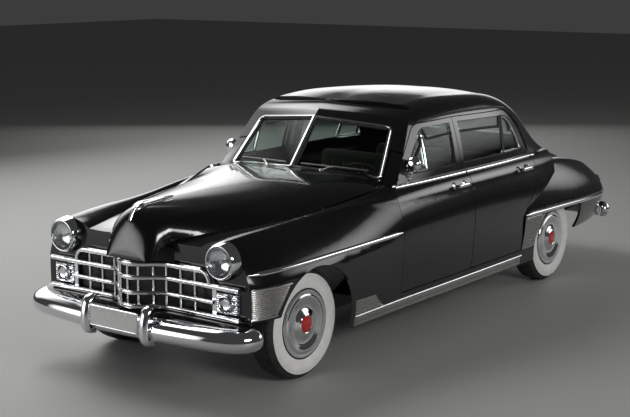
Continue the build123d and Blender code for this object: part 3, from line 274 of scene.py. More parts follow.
def red_glass():
    """Deep red lens under a clear coat, its red varying finely from place to place."""
    material, tree, shader = new_finish("red_lens", (0.30, 0.008, 0.01), 0.12, 0.0, Coat_Weight=1.0)
    grain = noise_node(tree, 120, 2)
    mix_colors(tree, shader, grain.outputs["Fac"], (0.22, 0.004, 0.006), (0.42, 0.012, 0.014))
    return material


LAMP_GLASS = fluted_lens()
RED_LENS = red_glass()


# %% Finishes: rubber, cloth and dark parts
def rubber():
    """Tyre rubber: near black, with pores and a dusty bloom."""
    material, tree, shader = new_finish("tyre_rubber", (0.018, 0.018, 0.019), 0.75)
    bloom = noise_node(tree, 30, 5)
    mix_colors(tree, shader, bloom.outputs["Fac"], (0.014, 0.014, 0.015), (0.032, 0.031, 0.030))
    pores = noise_node(tree, 600, 2)
    add_bump(tree, shader, pores.outputs["Fac"], 0.2, 0.0006)
    return material


def white_rubber():
    """White side band of the tyre, a little soiled."""
    material, tree, shader = new_finish("white_rubber", (0.75, 0.74, 0.71), 0.55)
    soil = noise_node(tree, 18, 5)
    mix_colors(tree, shader, soil.outputs["Fac"], (0.72, 0.71, 0.68), (0.80, 0.79, 0.77))
    return material


def seat_cloth():
    """Broadcloth in grey-brown with a fine cross weave."""
    material, tree, shader = new_finish("seat_cloth", (0.08, 0.07, 0.06), 0.9, 0.0, Sheen_Weight=0.2)
    coordinates = tree.nodes.new("ShaderNodeTexCoord")
    weave = tree.nodes.new("ShaderNodeTexWave")
    weave.bands_direction = "DIAGONAL"
    weave.inputs["Scale"].default_value = 260
    weave.inputs["Distortion"].default_value = 1.5
    tree.links.new(coordinates.outputs["Object"], weave.inputs["Vector"])
    mix_colors(tree, shader, weave.outputs["Fac"], (0.050, 0.046, 0.041), (0.100, 0.092, 0.083))
    add_bump(tree, shader, weave.outputs["Fac"], 0.35, 0.001)
    return material


def dark_paint(name, color, roughness):
    """Plain dark coating with uneven gloss, for what is hidden or underneath."""
    material, tree, shader = new_finish(name, color, roughness)
    grime = noise_node(tree, 14, 5)
    mix_colors(tree, shader, grime.outputs["Fac"], tuple(0.7 * c for c in color),
               tuple(min(1, 1.5 * c) for c in color))
    add_bump(tree, shader, noise_node(tree, 220, 3).outputs["Fac"], 0.15, 0.0008)
    return material


def enamel(name, color, roughness):
    """Smooth enamel whose shade hardly drifts."""
    material, tree, shader = new_finish(name, color, roughness, 0.0, Coat_Weight=0.6)
    drift = noise_node(tree, 45, 3)
    mix_colors(tree, shader, drift.outputs["Fac"], tuple(0.93 * c for c in color), color)
    return material


RUBBER = rubber()
WHITE_RUBBER = white_rubber()
CLOTH = seat_cloth()
DARK_TRIM = dark_paint("dark_trim", (0.045, 0.038, 0.032), 0.4)
FRAME_BLACK = dark_paint("frame_black", (0.022, 0.022, 0.022), 0.6)
CAST_IRON = dark_paint("engine_iron", (0.10, 0.11, 0.11), 0.65)
WHEEL_RED = enamel("cap_red", (0.48, 0.014, 0.014), 0.25)
PLATE_WHITE = enamel("plate_white", (0.74, 0.74, 0.72), 0.4)
FLOOR_PALE = new_finish("floor_pale", (0.36, 0.36, 0.35), 0.6)[0]
floor.data.materials.append(FLOOR_PALE)

# %% [markdown]
# The record says which material slot each CAD node takes. The same table gives each node its finish.

# %% Finishes onto the CAD nodes
FINISH_OF_SLOT = {
    "black_paint": LACQUER, "chrome": CHROME, "glass": GLASS, "lamp_glass": LAMP_GLASS,
    "red_lens": RED_LENS, "tyre_rubber": RUBBER, "upholstery": CLOTH, "trim_dark": DARK_TRIM,
    "chassis_steel": FRAME_BLACK, "engine_iron": CAST_IRON,
}
SUBPARTS = frame["record"]["subparts"]
for entry in SUBPARTS:
    node = NODES[entry["node"]]
    node.data.materials.clear()
    node.data.materials.append(FINISH_OF_SLOT[entry["material_slot"]])
print("finished nodes", len(SUBPARTS))

# %% [markdown]
# A panel comes from the CAD as several patches, and gloss paint would show each seam between them as a
# kink in the reflection. The metal is beaten smooth there, so the painted panels share their normals
# across every seam flatter than a set angle. The points stay where they are.

# %% Even gloss across the patches
SEAM_ANGLE = math.radians(22)
WELD = 2e-5  # points closer than this are one point


def even_gloss():
    """Node group that shares normals across shallow seams."""
    group = bpy.data.node_groups.new("even_gloss", "GeometryNodeTree")
    for way in ("INPUT", "OUTPUT"):
        group.interface.new_socket("Geometry", in_out=way, socket_type="NodeSocketGeometry")
    source, result = group.nodes.new("NodeGroupInput"), group.nodes.new("NodeGroupOutput")
    weld = group.nodes.new("GeometryNodeMergeByDistance")
    weld.inputs["Distance"].default_value = WELD
    angle = group.nodes.new("GeometryNodeInputMeshEdgeAngle")
    steep = group.nodes.new("FunctionNodeCompare")
    steep.operation = "GREATER_THAN"
    steep.inputs["B"].default_value = SEAM_ANGLE
    normals = group.nodes.new("GeometryNodeSetMeshNormal")
    normals.mode = "SHARPNESS"
    group.links.new(source.outputs["Geometry"], weld.inputs["Geometry"])
    group.links.new(angle.outputs["Unsigned Angle"], steep.inputs["A"])
    group.links.new(weld.outputs["Geometry"], normals.inputs["Mesh"])
    group.links.new(steep.outputs["Result"], normals.inputs["Edge Sharpness"])
    group.links.new(normals.outputs["Mesh"], result.inputs["Geometry"])
    return group


GLOSS = even_gloss()
painted = [entry["node"] for entry in SUBPARTS if entry["material_slot"] == "black_paint"]
for name in painted:
    NODES[name].modifiers.new("even_gloss", "NODES").node_group = GLOSS
print("evened panels", len(painted))

# %% [markdown]
# The trim is built from rows of points. A shape collects the rows and their faces, and a piece is a
# shape with finishes that rides on one body. Three makers cover nearly everything: turned forms,
# half-round mouldings along a line, and thin pressed sheets.

# %% Shapes: rows of points into pieces
SHARP_ANGLE = math.radians(38)  # edges steeper than this stay crisp


class Shape:
    """Points and faces of a piece; each face keeps the number of its finish."""

    def __init__(self):
        self.points, self.faces, self.marks = [], [], []

    def grid(self, rows, around=False, along=False, mark=0, caps=False):
        """Faces between rows of points: around closes each row, along joins the last row to the first."""
        start, count = len(self.points), len(rows[0])
        for row in rows:
            self.points += [tuple(point) for point in row]
        for i in range(len(rows) if along else len(rows) - 1):
            here, after = start + i * count, start + (i + 1) % len(rows) * count
            for j in range(count if around else count - 1):
                k = (j + 1) % count
                self.faces.append((here + j, here + k, after + k, after + j))
                self.marks.append(mark if isinstance(mark, int) else mark[j])
        if caps:
            last = start + (len(rows) - 1) * count
            self.faces += [tuple(range(start + count - 1, start - 1, -1)), tuple(range(last, last + count))]
            self.marks += [mark, mark]


def piece(name, shape, finishes, body, replaces=()):
    """Makes a shape into a piece that rides on a body."""
    mesh = bpy.data.meshes.new(name)
    mesh.from_pydata(shape.points, [], shape.faces)
    for finish in finishes:
        mesh.materials.append(finish)
    mesh.polygons.foreach_set("material_index", shape.marks)
    mend = bmesh.new()
    mend.from_mesh(mesh)
    bmesh.ops.remove_doubles(mend, verts=mend.verts, dist=1e-6)
    bmesh.ops.recalc_face_normals(mend, faces=mend.faces)
    mend.to_mesh(mesh)
    mend.free()
    mesh.shade_smooth()
    mesh.set_sharp_from_angle(angle=SHARP_ANGLE)
    made = bpy.data.objects.new(name, mesh)
    bpy.context.scene.collection.objects.link(made)
    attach(made, body)
    if replaces:
        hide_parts(*replaces)
    return made


def through(keys, steps, closed=False):
    """Points on a smooth curve through the keys."""
    keys = [np.array(key, float) for key in keys]
    count = len(keys)
    points = []
    for i in range(count if closed else count - 1):
        before = keys[i - 1] if i or closed else keys[0]
        a, b = keys[i], keys[(i + 1) % count]
        after = keys[(i + 2) % count] if closed or i + 2 < count else b
        for step in range(steps):
            u = step / steps
            points.append(0.5 * (2 * a + (b - before) * u + (2 * before - 5 * a + 4 * b - after) * u**2
                                 + (3 * a - before - 3 * b + after) * u**3))
    return points if closed else points + [keys[-1]]


def straight(keys, spacing):
    """Points along straight runs between the keys, about a spacing apart."""
    keys = [np.array(key, float) for key in keys]
    points = []
    for a, b in zip(keys, keys[1:]):
        count = max(1, round(float(np.linalg.norm(b - a)) / spacing))
        points += [a + (b - a) * step / count for step in range(count)]
    return points + [keys[-1]]


# %% Shapes: turned forms, mouldings and rods
HALF_ROUND = [(-1, -0.6), (-1, 0.1), (-0.86, 0.55), (-0.5, 0.88), (0, 1), (0.5, 0.88), (0.86, 0.55),
              (1, 0.1), (1, -0.6)]
ROUND = [(math.cos(a), math.sin(a)) for a in np.linspace(0, 2 * math.pi, 12, endpoint=False)]


def turned(shape, centre, axis, profile, segments, mark=0):
    """Adds a turned form; the profile is (radius, distance along the axis)."""
    axis = Vector(axis).normalized()
    first = axis.orthogonal().normalized()
    second = axis.cross(first)
    rows = []
    for step in range(segments):
        angle = 2 * math.pi * step / segments
        out = first * math.cos(angle) + second * math.sin(angle)
        rows.append([Vector(centre) + out * r + axis * w for r, w in profile])
    shape.grid(rows, along=True, mark=mark)


def strip(shape, points, normals, width, proud, closed=False, taper=0, profile=HALF_ROUND, mark=0):
    """Adds a moulding along points on a surface; its ends thin out over taper points."""
    count, rows = len(points), []
    for i, (point, normal) in enumerate(zip(points, normals)):
        before = points[i - 1] if i or closed else point
        after = points[(i + 1) % count] if closed or i + 1 < count else point
        along = (Vector(after) - Vector(before)).normalized()
        side = Vector(normal).cross(along).normalized()
        out = along.cross(side)
        scale = min(1.0, 0.2 + min(i, count - 1 - i) / taper) if taper else 1.0
        rows.append([Vector(point) + side * (a * width / 2 * scale) + out * (h * proud * scale)
                     for a, h in profile])
    shape.grid(rows, around=True, along=closed, caps=not closed, mark=mark)


def strip_on(shape, found, width, proud, **more):
    """Adds a moulding along places that were found with their normals."""
    strip(shape, [place for place, _ in found], [normal for _, normal in found], width, proud, **more)


def rod(shape, points, radius, mark=0):
    """Adds a round rod through points."""
    points = [Vector(point) for point in points]
    normals = [(points[-1] - points[0]).orthogonal()] * len(points)
    strip(shape, points, normals, 2 * radius, radius, profile=ROUND, mark=mark)


# %% Shapes: places on the CAD skin
SIDES = [(1, "left"), (-1, "right")]
MOULDING_STEP, EDGE_SINK = 0.03, 0.002


def skin(*names):
    """Search tree of CAD nodes, for finding places on their surface."""
    points, faces = [], []
    for name in names:
        mesh = NODES[name].data
        start = len(points)
        points += [vertex.co.copy() for vertex in mesh.vertices]
        faces += [[start + i for i in polygon.vertices] for polygon in mesh.polygons]
    return BVHTree.FromPolygons(points, faces)


def hit(tree, start, way):
    """First place on a skin along a ray, with the normal turned back to the ray's start."""
    place, normal, _, _ = tree.ray_cast(Vector(start), Vector(way))
    if place is None:
        place, normal, _, _ = tree.find_nearest(Vector(start) + Vector(way) * 0.5)
    return place, normal if normal.dot(Vector(way)) < 0 else -normal


def on_side(tree, side, line, inward=False):
    """Places and smoothed normals on a body side along (x, z) points, from outside or from the cabin."""
    start, way = (0.1, side) if inward else (1.5, -side)
    found = [hit(tree, (x, side * start, z), (0, way, 0)) for x, z in line]
    places = [place for place, _ in found]
    normals = []
    for i in range(len(found)):
        near = [normal for _, normal in found[max(0, i - 2):i + 3]]
        normals.append(sum(near, Vector()).normalized())
    return places, normals


def side_moulding(shape, tree, side, keys, width, proud, taper=0):
    """Adds a moulding on a body side along (x, z) keys."""
    places, normals = on_side(tree, side, straight(keys, MOULDING_STEP))
    strip(shape, places, normals, width, proud, taper=taper)


def spread(keys, count):
    """A count of points along a line of keys; the keys lie at even shares of it."""
    keys = np.array(keys)
    shares = np.linspace(0, 1, len(keys))
    return np.stack([np.interp(np.linspace(0, 1, count), shares, keys[:, axis]) for axis in (0, 1)], 1)


def side_sheet(shape, tree, side, low, high, columns, ribs, lift=0.004, depth=0.0016, inward=False):
    """Adds a sheet on a body side between two (x, z) edge lines, pressed with ribs along its length."""
    low, high = spread(low, columns), spread(high, columns)
    count = max(6, 6 * ribs)
    rows = []
    for j in range(count + 1):
        v = j / count
        places, normals = on_side(tree, side, low + (high - low) * v, inward)
        wave = depth * math.sin(2 * math.pi * ribs * v)
        row = []
        for i, (place, normal) in enumerate(zip(places, normals)):
            edge = j in (0, count) or i in (0, columns - 1)
            row.append(place + normal * (-EDGE_SINK if edge else lift + wave))
        rows.append(row)
    shape.grid(rows)


print("makers ready")

# %% [markdown]
# The bright mouldings follow the panels they lie on. Each is found by looking at the panel from the
# side, so a moulding on a door rides on that door. The stone guards are thin ribbed sheets: one ahead of
# each front wheel, one behind it that runs on along the sill, and one ahead of each rear wheel.

# %% Mouldings and stone guards
ARCH_FRONT, ARCH_REAR, AXLE_Z = 1.845, -1.495, 0.355
SIDE_LINES = [
    # (x, z) line, width, how proud, points over which its ends thin out
    ([(2.42, 0.774), (0.902, 0.797)], 0.032, 0.012, 4),
    ([(-0.848, 0.648), (-1.5, 0.634), (-2.39, 0.612)], 0.032, 0.013, 3),
    ([(-1.118, 1.084), (-1.225, 1.080)], 0.030, 0.011, 3),
]
BELT_LINES = {"front": [(0.842, 1.086), (-0.046, 1.086)], "rear": [(-0.066, 1.086), (-1.095, 1.084)]}
BELT_WIDTH, BELT_PROUD = 0.033, 0.013
NOSE_X, NOSE_LOW, NOSE_HIGH, NOSE_ARCH = 2.425, 0.512, 0.684, 0.425
SILL_LOW, SILL_HIGH, SILL_END, SILL_ARCH = 0.258, 0.328, -0.84, 0.405
WING_FRONT, WING_LOW, WING_ARCH = -0.842, 0.372, 0.438


def beside_arch(axle, radius, z, way):
    """Point (x, z) beside a wheel opening at a height."""
    return axle + way * math.sqrt(radius**2 - (z - AXLE_Z) ** 2), z


def nose_guard(satin, bright, side):
    """Adds the guard ahead of the front wheel, between two bright edges."""
    low, high = [beside_arch(ARCH_FRONT, NOSE_ARCH, z, 1) for z in (NOSE_LOW, NOSE_HIGH)]
    side_sheet(satin, FENDERS, side, [low, (NOSE_X, NOSE_LOW)], [high, (NOSE_X, NOSE_HIGH)], 22, 15)
    side_moulding(bright, FENDERS, side, [(NOSE_X, 0.688), high], 0.014, 0.008)
    side_moulding(bright, FENDERS, side, [(NOSE_X, 0.506), low], 0.016, 0.008)


def sill_guard(satin, bright, side):
    """Adds the plate behind the front wheel and the trim along the sill."""
    low = [beside_arch(ARCH_FRONT, SILL_ARCH, SILL_HIGH, -1), (1.20, SILL_HIGH), (1.08, SILL_HIGH)]
    high = [beside_arch(ARCH_FRONT, SILL_ARCH, 0.440, -1), (1.215, 0.432), (1.14, 0.360)]
    side_sheet(satin, FENDERS, side, low, high, 26, 6, depth=0.0012)
    front = beside_arch(ARCH_FRONT, SILL_ARCH, SILL_LOW, -1)[0]
    low_edge, high_edge = [[(front, z), (SILL_END, z)] for z in (SILL_LOW, SILL_HIGH)]
    side_sheet(satin, FENDERS, side, low_edge, high_edge, 72, 2, depth=0.001)
    side_moulding(bright, FENDERS, side, [low[0], (WING_FRONT, SILL_HIGH)], 0.011, 0.007)


def wing_guard(satin, side):
    """Adds the guard ahead of the rear wheel."""
    low = [(WING_FRONT, WING_LOW), (-0.95, WING_LOW), beside_arch(ARCH_REAR, WING_ARCH, WING_LOW, 1)]
    high = [(WING_FRONT, 0.628), (-0.99, 0.626), (beside_arch(ARCH_REAR, WING_ARCH, 0.62, 1)[0], 0.622)]
    side_sheet(satin, FENDERS, side, low, high, 18, 9, depth=0.0022)


FENDERS = skin("front_fenders", "rear_fenders", "sills", "quarters")
for side, name in SIDES:
    bright, satin = Shape(), Shape()
    for line, width, proud, taper in SIDE_LINES:
        side_moulding(bright, FENDERS, side, line, width, proud, taper)
    nose_guard(satin, bright, side)
    sill_guard(satin, bright, side)
    wing_guard(satin, side)
    piece(f"body_mouldings_{name}", bright, [CHROME], "body")
    piece(f"stone_guards_{name}", satin, [STAINLESS], "body")
    for where, line in BELT_LINES.items():
        door = f"door_{where}_{name}"
        belt = Shape()
        side_moulding(belt, skin(door), side, line, BELT_WIDTH, BELT_PROUD)
        piece(f"belt_moulding_{where}_{name}", belt, [CHROME], door)
print("mouldings on both sides")

# %% [markdown]
# The side windows are set in dark rubber. Only the small vent panes have bright frames, and the
# windscreen has a thin bright frame with a bar down the middle.

# %% Side windows
WINDOW_EDGE = {
    "front": [(0.668, 1.140), (0.398, 1.408), (0.360, 1.430), (0.310, 1.438), (-0.012, 1.444),
              (0.006, 1.140)],
    "rear": [(-0.102, 1.140), (-0.118, 1.444), (-0.760, 1.426), (-0.860, 1.412), (-0.930, 1.378),
             (-0.978, 1.318), (-1.012, 1.240), (-1.046, 1.140)],
}
VENT_EDGE = {
    "front": [(0.640, 1.150), (0.404, 1.386), (0.378, 1.404), (0.366, 1.396), (0.384, 1.150)],
    "rear": [(-0.726, 1.150), (-0.797, 1.412), (-0.860, 1.402), (-0.922, 1.368), (-0.970, 1.310),
             (-1.002, 1.236), (-1.030, 1.150)],
}
SEAL_WIDTH, SEAL_PROUD, SEAL_LIFT = 0.020, 0.007, 0.002
VENT_WIDTH, VENT_PROUD = 0.017, 0.016


def closed_line(keys, spacing=0.02):
    """Straight runs round a closed outline."""
    return straight(keys + keys[:1], spacing)[:-1]


for side, name in SIDES:
    for where in ("front", "rear"):
        pane = skin(f"glass_{where}_{name}")
        door = f"door_{where}_{name}"
        seal, vent = Shape(), Shape()
        places, normals = on_side(pane, side, closed_line(WINDOW_EDGE[where]))
        places = [place + normal * SEAL_LIFT for place, normal in zip(places, normals)]
        strip(seal, places, normals, SEAL_WIDTH, SEAL_PROUD, closed=True)
        places, normals = on_side(pane, side, closed_line(VENT_EDGE[where]))
        strip(vent, places, normals, VENT_WIDTH, VENT_PROUD, closed=True)
        piece(f"window_seal_{where}_{name}", seal, [RUBBER], door)
        piece(f"vent_frame_{where}_{name}", vent, [CHROME], door)
print("window seals 4, vent frames 4")

# %% Windscreen and rear window
# base in the middle and outside, then top outside and in the middle
SCREEN = [Vector((0.920, 0.0, 1.173)), Vector((0.776, 0.657, 1.128)),
          Vector((0.525, 0.583, 1.446)), Vector((0.645, 0.0, 1.497))]
SCREEN_RIM = [(0.02, -0.012), (0.95, -0.012), (0.99, -0.004), (1.008, 0.03),
              (1.008, 0.93), (0.99, 0.985), (0.95, 1.012), (0.02, 1.012)]
SCREEN_INNER = [(0.03, 0.01), (0.985, 0.01), (0.985, 0.985), (0.03, 0.985)]
FRAME_WIDTH, FRAME_PROUD, SCREEN_STEP = 0.016, 0.007, 0.05


def screen_normal(side):
    """Outward normal of one windscreen pane."""
    across = Vector((SCREEN[1].x, side * SCREEN[1].y, SCREEN[1].z)) - SCREEN[0]
    return (across.cross(SCREEN[3] - SCREEN[0]) * side).normalized()


def on_screen(side, s, t, lift=0.0):
    """Place on a windscreen pane: s runs from the middle outward, t from the base to the top."""
    low = SCREEN[0].lerp(SCREEN[1], s)
    high = SCREEN[3].lerp(SCREEN[2], s)
    place = low.lerp(high, t)
    return Vector((place.x, side * place.y, place.z)) + screen_normal(side) * lift


screen_trim, screen_seal = Shape(), Shape()
for side, _ in SIDES:
    out = screen_normal(side)
    places = [on_screen(side, s, t) for s, t in straight(SCREEN_RIM, SCREEN_STEP)]
    strip(screen_trim, places, [out] * len(places), FRAME_WIDTH, FRAME_PROUD)
    places = [on_screen(side, s, t, -0.013) for s, t in closed_line(SCREEN_INNER, SCREEN_STEP)]
    strip(screen_seal, places, [out] * len(places), 0.022, 0.008, closed=True)
bar = [SCREEN[0].lerp(SCREEN[3], u) for u in np.linspace(-0.012, 1.012, 12)]
ahead = (screen_normal(1) + screen_normal(-1)).normalized()
strip(screen_trim, bar, [ahead] * len(bar), 0.030, 0.012)
piece("windscreen_frame", screen_trim, [CHROME], "body")
piece("windscreen_seal", screen_seal, [RUBBER], "body")

REAR_HALF, REAR_LOW, REAR_HIGH, REAR_INSET, REAR_ROUND = 0.41, 1.178, 1.422, 0.07, 0.076
REAR_CORNERS = [(REAR_HALF, REAR_LOW + REAR_INSET, 270), (REAR_HALF, REAR_HIGH - REAR_INSET, 0),
                (-REAR_HALF, REAR_HIGH - REAR_INSET, 90), (-REAR_HALF, REAR_LOW + REAR_INSET, 180)]
ROOF = skin("roof")
line = []
for y, z, start in REAR_CORNERS:
    for angle in np.radians(np.linspace(start, start + 90, 7)):
        line.append((y + REAR_ROUND * math.cos(angle), z + REAR_ROUND * math.sin(angle)))
rear_trim = Shape()
found = [hit(ROOF, (-3.0, y, z), (1, 0, 0)) for y, z in closed_line(line, 0.03)]
strip_on(rear_trim, found, FRAME_WIDTH, FRAME_PROUD, closed=True)
piece("rear_window_frame", rear_trim, [CHROME], "body")
print("windscreen and rear window framed")

# %% [markdown]
# A drip rail runs over the doors from the windscreen post to the rear quarter, in the roof's own black.
# Each wiper is a bent arm on a round pivot, with a thin blade that lies on the glass.

# %% Drip rails and wipers
DRIP_LINE = [(0.40, 1.478), (0.27, 1.492), (-0.222, 1.504), (-0.78, 1.486), (-0.93, 1.44), (-1.05, 1.352),
             (-1.12, 1.24), (-1.148, 1.11)]
PIVOT = [(0.0, 0.032), (0.012, 0.030), (0.017, 0.022), (0.018, 0.0), (0.022, -0.012)]
drip, wipers = Shape(), Shape()
for side, _ in SIDES:
    out = screen_normal(side)
    places, normals = on_side(ROOF, side, [tuple(p) for p in through(DRIP_LINE, 6)])
    strip(drip, places, normals, 0.016, 0.012, taper=3)
    pivot = on_screen(side, 0.36, -0.05, 0.02)
    arm = [pivot, on_screen(side, 0.42, 0.03, 0.022), on_screen(side, 0.47, 0.055, 0.018)]
    rod(wipers, arm, 0.005)
    edge = [on_screen(side, s, 0.05 + 0.05 * s, 0.010) for s in np.linspace(0.10, 0.86, 12)]
    strip(wipers, edge, [out] * len(edge), 0.010, 0.008)
    turned(wipers, pivot - out * 0.02, out, PIVOT, 24)
piece("drip_rails", drip, [LACQUER], "body")
piece("wipers", wipers, [STAINLESS], "body")
print("drip rails, wipers")

# %% [markdown]
# Handles are solid lumps on the CAD doors, and bright shells, a millimetre or two larger, cover them. The
# mirrors stand closer to the vent windows than the lumps that mark them, so each front door's skin is
# taken over without its lump, the small hole is closed, and the mirror gets a foot under the glass.

# %% Front doors without the mirror lumps
LUMP_AT, LUMP_REACH = (0.748, 0.878, 1.212), 0.09


def bare_door(side, name):
    """Front door whose skin has no mirror lump; it stands for the CAD door."""
    node = f"door_front_{name}"
    build = bmesh.new()
    build.from_mesh(NODES[node].data)
    bmesh.ops.remove_doubles(build, verts=build.verts, dist=WELD)
    lump_at = Vector((LUMP_AT[0], side * LUMP_AT[1], LUMP_AT[2]))
    lump = [vertex for vertex in build.verts if (vertex.co - lump_at).length < LUMP_REACH]
    bmesh.ops.delete(build, geom=lump, context="VERTS")
    rim = [edge for edge in build.edges if edge.is_boundary]
    closed = bmesh.ops.holes_fill(build, edges=rim, sides=0)["faces"]
    for face in closed:
        face.smooth = True
    mesh = bpy.data.meshes.new(f"door_panel_front_{name}")
    build.to_mesh(mesh)
    build.free()
    mesh.materials.append(LACQUER)
    panel = bpy.data.objects.new(mesh.name, mesh)
    bpy.context.scene.collection.objects.link(panel)
    panel.modifiers.new("even_gloss", "NODES").node_group = GLOSS
    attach(panel, node)
    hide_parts(node)
    print(panel.name, "rim edges", len(rim), "closed by", len(closed))


print("door maker ready")

# %% Handles and mirrors
HANDLES = {"front": (0.105, 0.907, 1.012), "rear": (-0.872, 0.904, 1.012)}
GRIP_HALF, GRIP_OUT, POST_APART = 0.0985, 0.031, 0.071
POST = [(0.030, 0.0), (0.030, 0.022), (0.021, 0.030), (0.013, 0.036), (0.0125, 0.058)]
MIRROR_HEAD, MIRROR_FOOT = (0.610, 0.815, 1.213), (0.618, 1.117)
CUP = [(0.0, 0.021), (0.022, 0.0205), (0.038, 0.016), (0.049, 0.008), (0.0555, -0.006), (0.057, -0.014),
       (0.056, -0.0195), (0.051, -0.0195)]
FACE = [(0.051, -0.0195), (0.050, -0.0182), (0.0, -0.0182)]
FOOT = [(0.017, -0.003), (0.016, 0.004), (0.011, 0.009), (0.0, 0.010)]


def handle_shape(side, x, y, z):
    """Door handle: a grip that swells in the middle, on two round posts."""
    shape, rows = Shape(), []
    for u in np.linspace(-1, 1, 25):
        swell = math.sqrt(max(0.0, 1 - abs(u) ** 3.5))
        thick, tall = 0.0035 + 0.0065 * swell, 0.005 + 0.0105 * swell
        middle = Vector((x + u * GRIP_HALF, side * (y + GRIP_OUT), z + 0.002 * (1 - u * u)))
        rows.append([middle + Vector((0, side * thick * math.cos(a), tall * math.sin(a)))
                     for a in np.linspace(0, 2 * math.pi, 18, endpoint=False)])
    shape.grid(rows, around=True, caps=True)
    for end in (-1, 1):
        turned(shape, (x + end * POST_APART, side * (y - 0.03), z), (0, side, 0), POST, 28)
    return shape


def mirror_shape(side, name):
    """Round mirror on a bent stem; its foot sits on the door under the vent window."""
    shape = Shape()
    head = Vector((MIRROR_HEAD[0], side * MIRROR_HEAD[1], MIRROR_HEAD[2]))
    x, z = MIRROR_FOOT
    foot, out = hit(skin(f"door_front_{name}"), (x, side * 1.5, z), (0, -side, 0))
    turned(shape, head, (1, 0, 0), CUP, 48)
    turned(shape, head, (1, 0, 0), FACE, 48, mark=1)
    turned(shape, foot, out, FOOT, 28)
    bend = foot + out * 0.014 + Vector((0, 0, 0.014))
    rod(shape, [foot + out * 0.004, bend, head - Vector((0, 0, 0.045))], 0.007)
    return shape


for side, name in SIDES:
    for where, (x, y, z) in HANDLES.items():
        handle = handle_shape(side, x, y, z)
        piece(f"handle_{where}_{name}", handle, [CHROME], f"door_{where}_{name}")
    bare_door(side, name)
    mirror = mirror_shape(side, name)
    piece(f"mirror_{name}", mirror, [CHROME, MIRROR_GLASS], f"door_front_{name}")
print("handles 4, mirrors 2")

# %% [markdown]
# The tyre is a turned form whose tread has zigzag grooves, with a white band on the outer wall. The
# wheel cover has pressed rings and a red middle.

# %% Tyres and wheel covers
TYRE_WALL = [(0.200, 0.072), (0.209, 0.077), (0.216, 0.0805), (0.2175, 0.0835), (0.222, 0.0865),
             (0.2275, 0.0886), (0.242, 0.0935), (0.266, 0.0975), (0.290, 0.0982), (0.308, 0.0945),
             (0.3185, 0.0905), (0.3205, 0.0915), (0.323, 0.0880), (0.335, 0.0815), (0.345, 0.0720),
             (0.351, 0.0640)]
WHITE_LOW, WHITE_HIGH = 0.2275, 0.3195
TREAD_RADIUS, TREAD_HALF, TREAD_STEPS, AROUND = 0.3552, 0.062, 52, 288
GROOVES, GROOVE_HALF, GROOVE_DEPTH, ZIGZAG = (-0.042, -0.016, 0.016, 0.042), 0.0022, 0.006, 0.004


def tyre_shape(centre, side):
    """Tyre with a white outer wall and four zigzag grooves."""
    tread = np.linspace(TREAD_HALF, -TREAD_HALF, TREAD_STEPS)
    shape, rows = Shape(), []
    wall_in = [(r, -w) for r, w in TYRE_WALL[::-1]]
    for step in range(AROUND):
        angle = 2 * math.pi * step / AROUND
        zigzag = ZIGZAG * (abs((step / 4) % 2 - 1) * 2 - 1)
        cut = np.zeros(TREAD_STEPS)
        for groove in GROOVES:
            cut = np.maximum(cut, np.clip(1.6 - np.abs(tread - groove - zigzag) / GROOVE_HALF, 0, 1))
        if step % 4 == 0:
            cut = np.maximum(cut, np.where(np.abs(tread) > 0.050, 0.7, 0))
        crown = TREAD_RADIUS - 0.0036 * (tread / TREAD_HALF) ** 2 - GROOVE_DEPTH * cut
        profile = TYRE_WALL + list(zip(crown, tread)) + wall_in
        rows.append([(centre[0] + r * math.cos(angle), centre[1] + side * w, centre[2] + r * math.sin(angle))
                     for r, w in profile])
    marks = []
    for (r1, w1), (r2, w2) in zip(profile, profile[1:]):
        marks.append(1 if w1 > 0 and WHITE_LOW <= (r1 + r2) / 2 <= WHITE_HIGH else 0)
    shape.grid(rows, along=True, mark=marks)
    return shape


COVER = [(0.0, 0.0995), (0.0535, 0.0995), (0.0545, 0.1062), (0.0580, 0.1078), (0.0625, 0.1062),
         (0.0655, 0.1030), (0.0740, 0.1005), (0.0840, 0.0965), (0.0960, 0.0905), (0.1080, 0.0862),
         (0.1180, 0.0850), (0.1225, 0.0868), (0.1265, 0.0862), (0.1310, 0.0882), (0.1420, 0.0905),
         (0.1560, 0.0945), (0.1680, 0.0982), (0.1765, 0.0996), (0.1835, 0.0985), (0.1885, 0.0948),
         (0.1925, 0.0938), (0.1990, 0.0945), (0.2070, 0.0972), (0.2130, 0.0970), (0.2165, 0.0935),
         (0.2172, 0.0880), (0.2120, 0.0850), (0.1990, 0.0840), (0.1990, -0.0860), (0.1680, -0.0860),
         (0.1500, -0.0220), (0.0290, -0.0200)]
RED_CAP = [(0.0, 0.1115), (0.018, 0.1110), (0.034, 0.1095), (0.046, 0.1072), (0.0535, 0.1045),
           (0.0545, 0.0995)]
WHEEL_PLACES = [("front", ARCH_FRONT, 0.724), ("rear", ARCH_REAR, 0.745)]
for side, name in SIDES:
    for where, x, half in WHEEL_PLACES:
        centre = (x, side * half, AXLE_Z)
        wheel = f"{where}_{name}"
        body = f"wheel_{wheel}"
        tyre, cover, cap = tyre_shape(centre, side), Shape(), Shape()
        turned(cover, centre, (0, side, 0), COVER, 96)
        turned(cap, centre, (0, side, 0), RED_CAP, 64)
        piece(f"tyre_dressed_{wheel}", tyre, [RUBBER, WHITE_RUBBER], body, [f"tyre_{wheel}"])
        piece(f"cover_{wheel}", cover, [CHROME], body, [f"wheel_{wheel}"])
        piece(f"cap_{wheel}", cap, [WHEEL_RED], body)
print("tyres and covers 4")

# %% [markdown]
# A headlamp is a bright rim, a reflector bowl with its bulb, and a domed glass in front. The parking
# lamps sit in ribbed bezels, the tail lamps in bright rings. All are turned from short profiles.

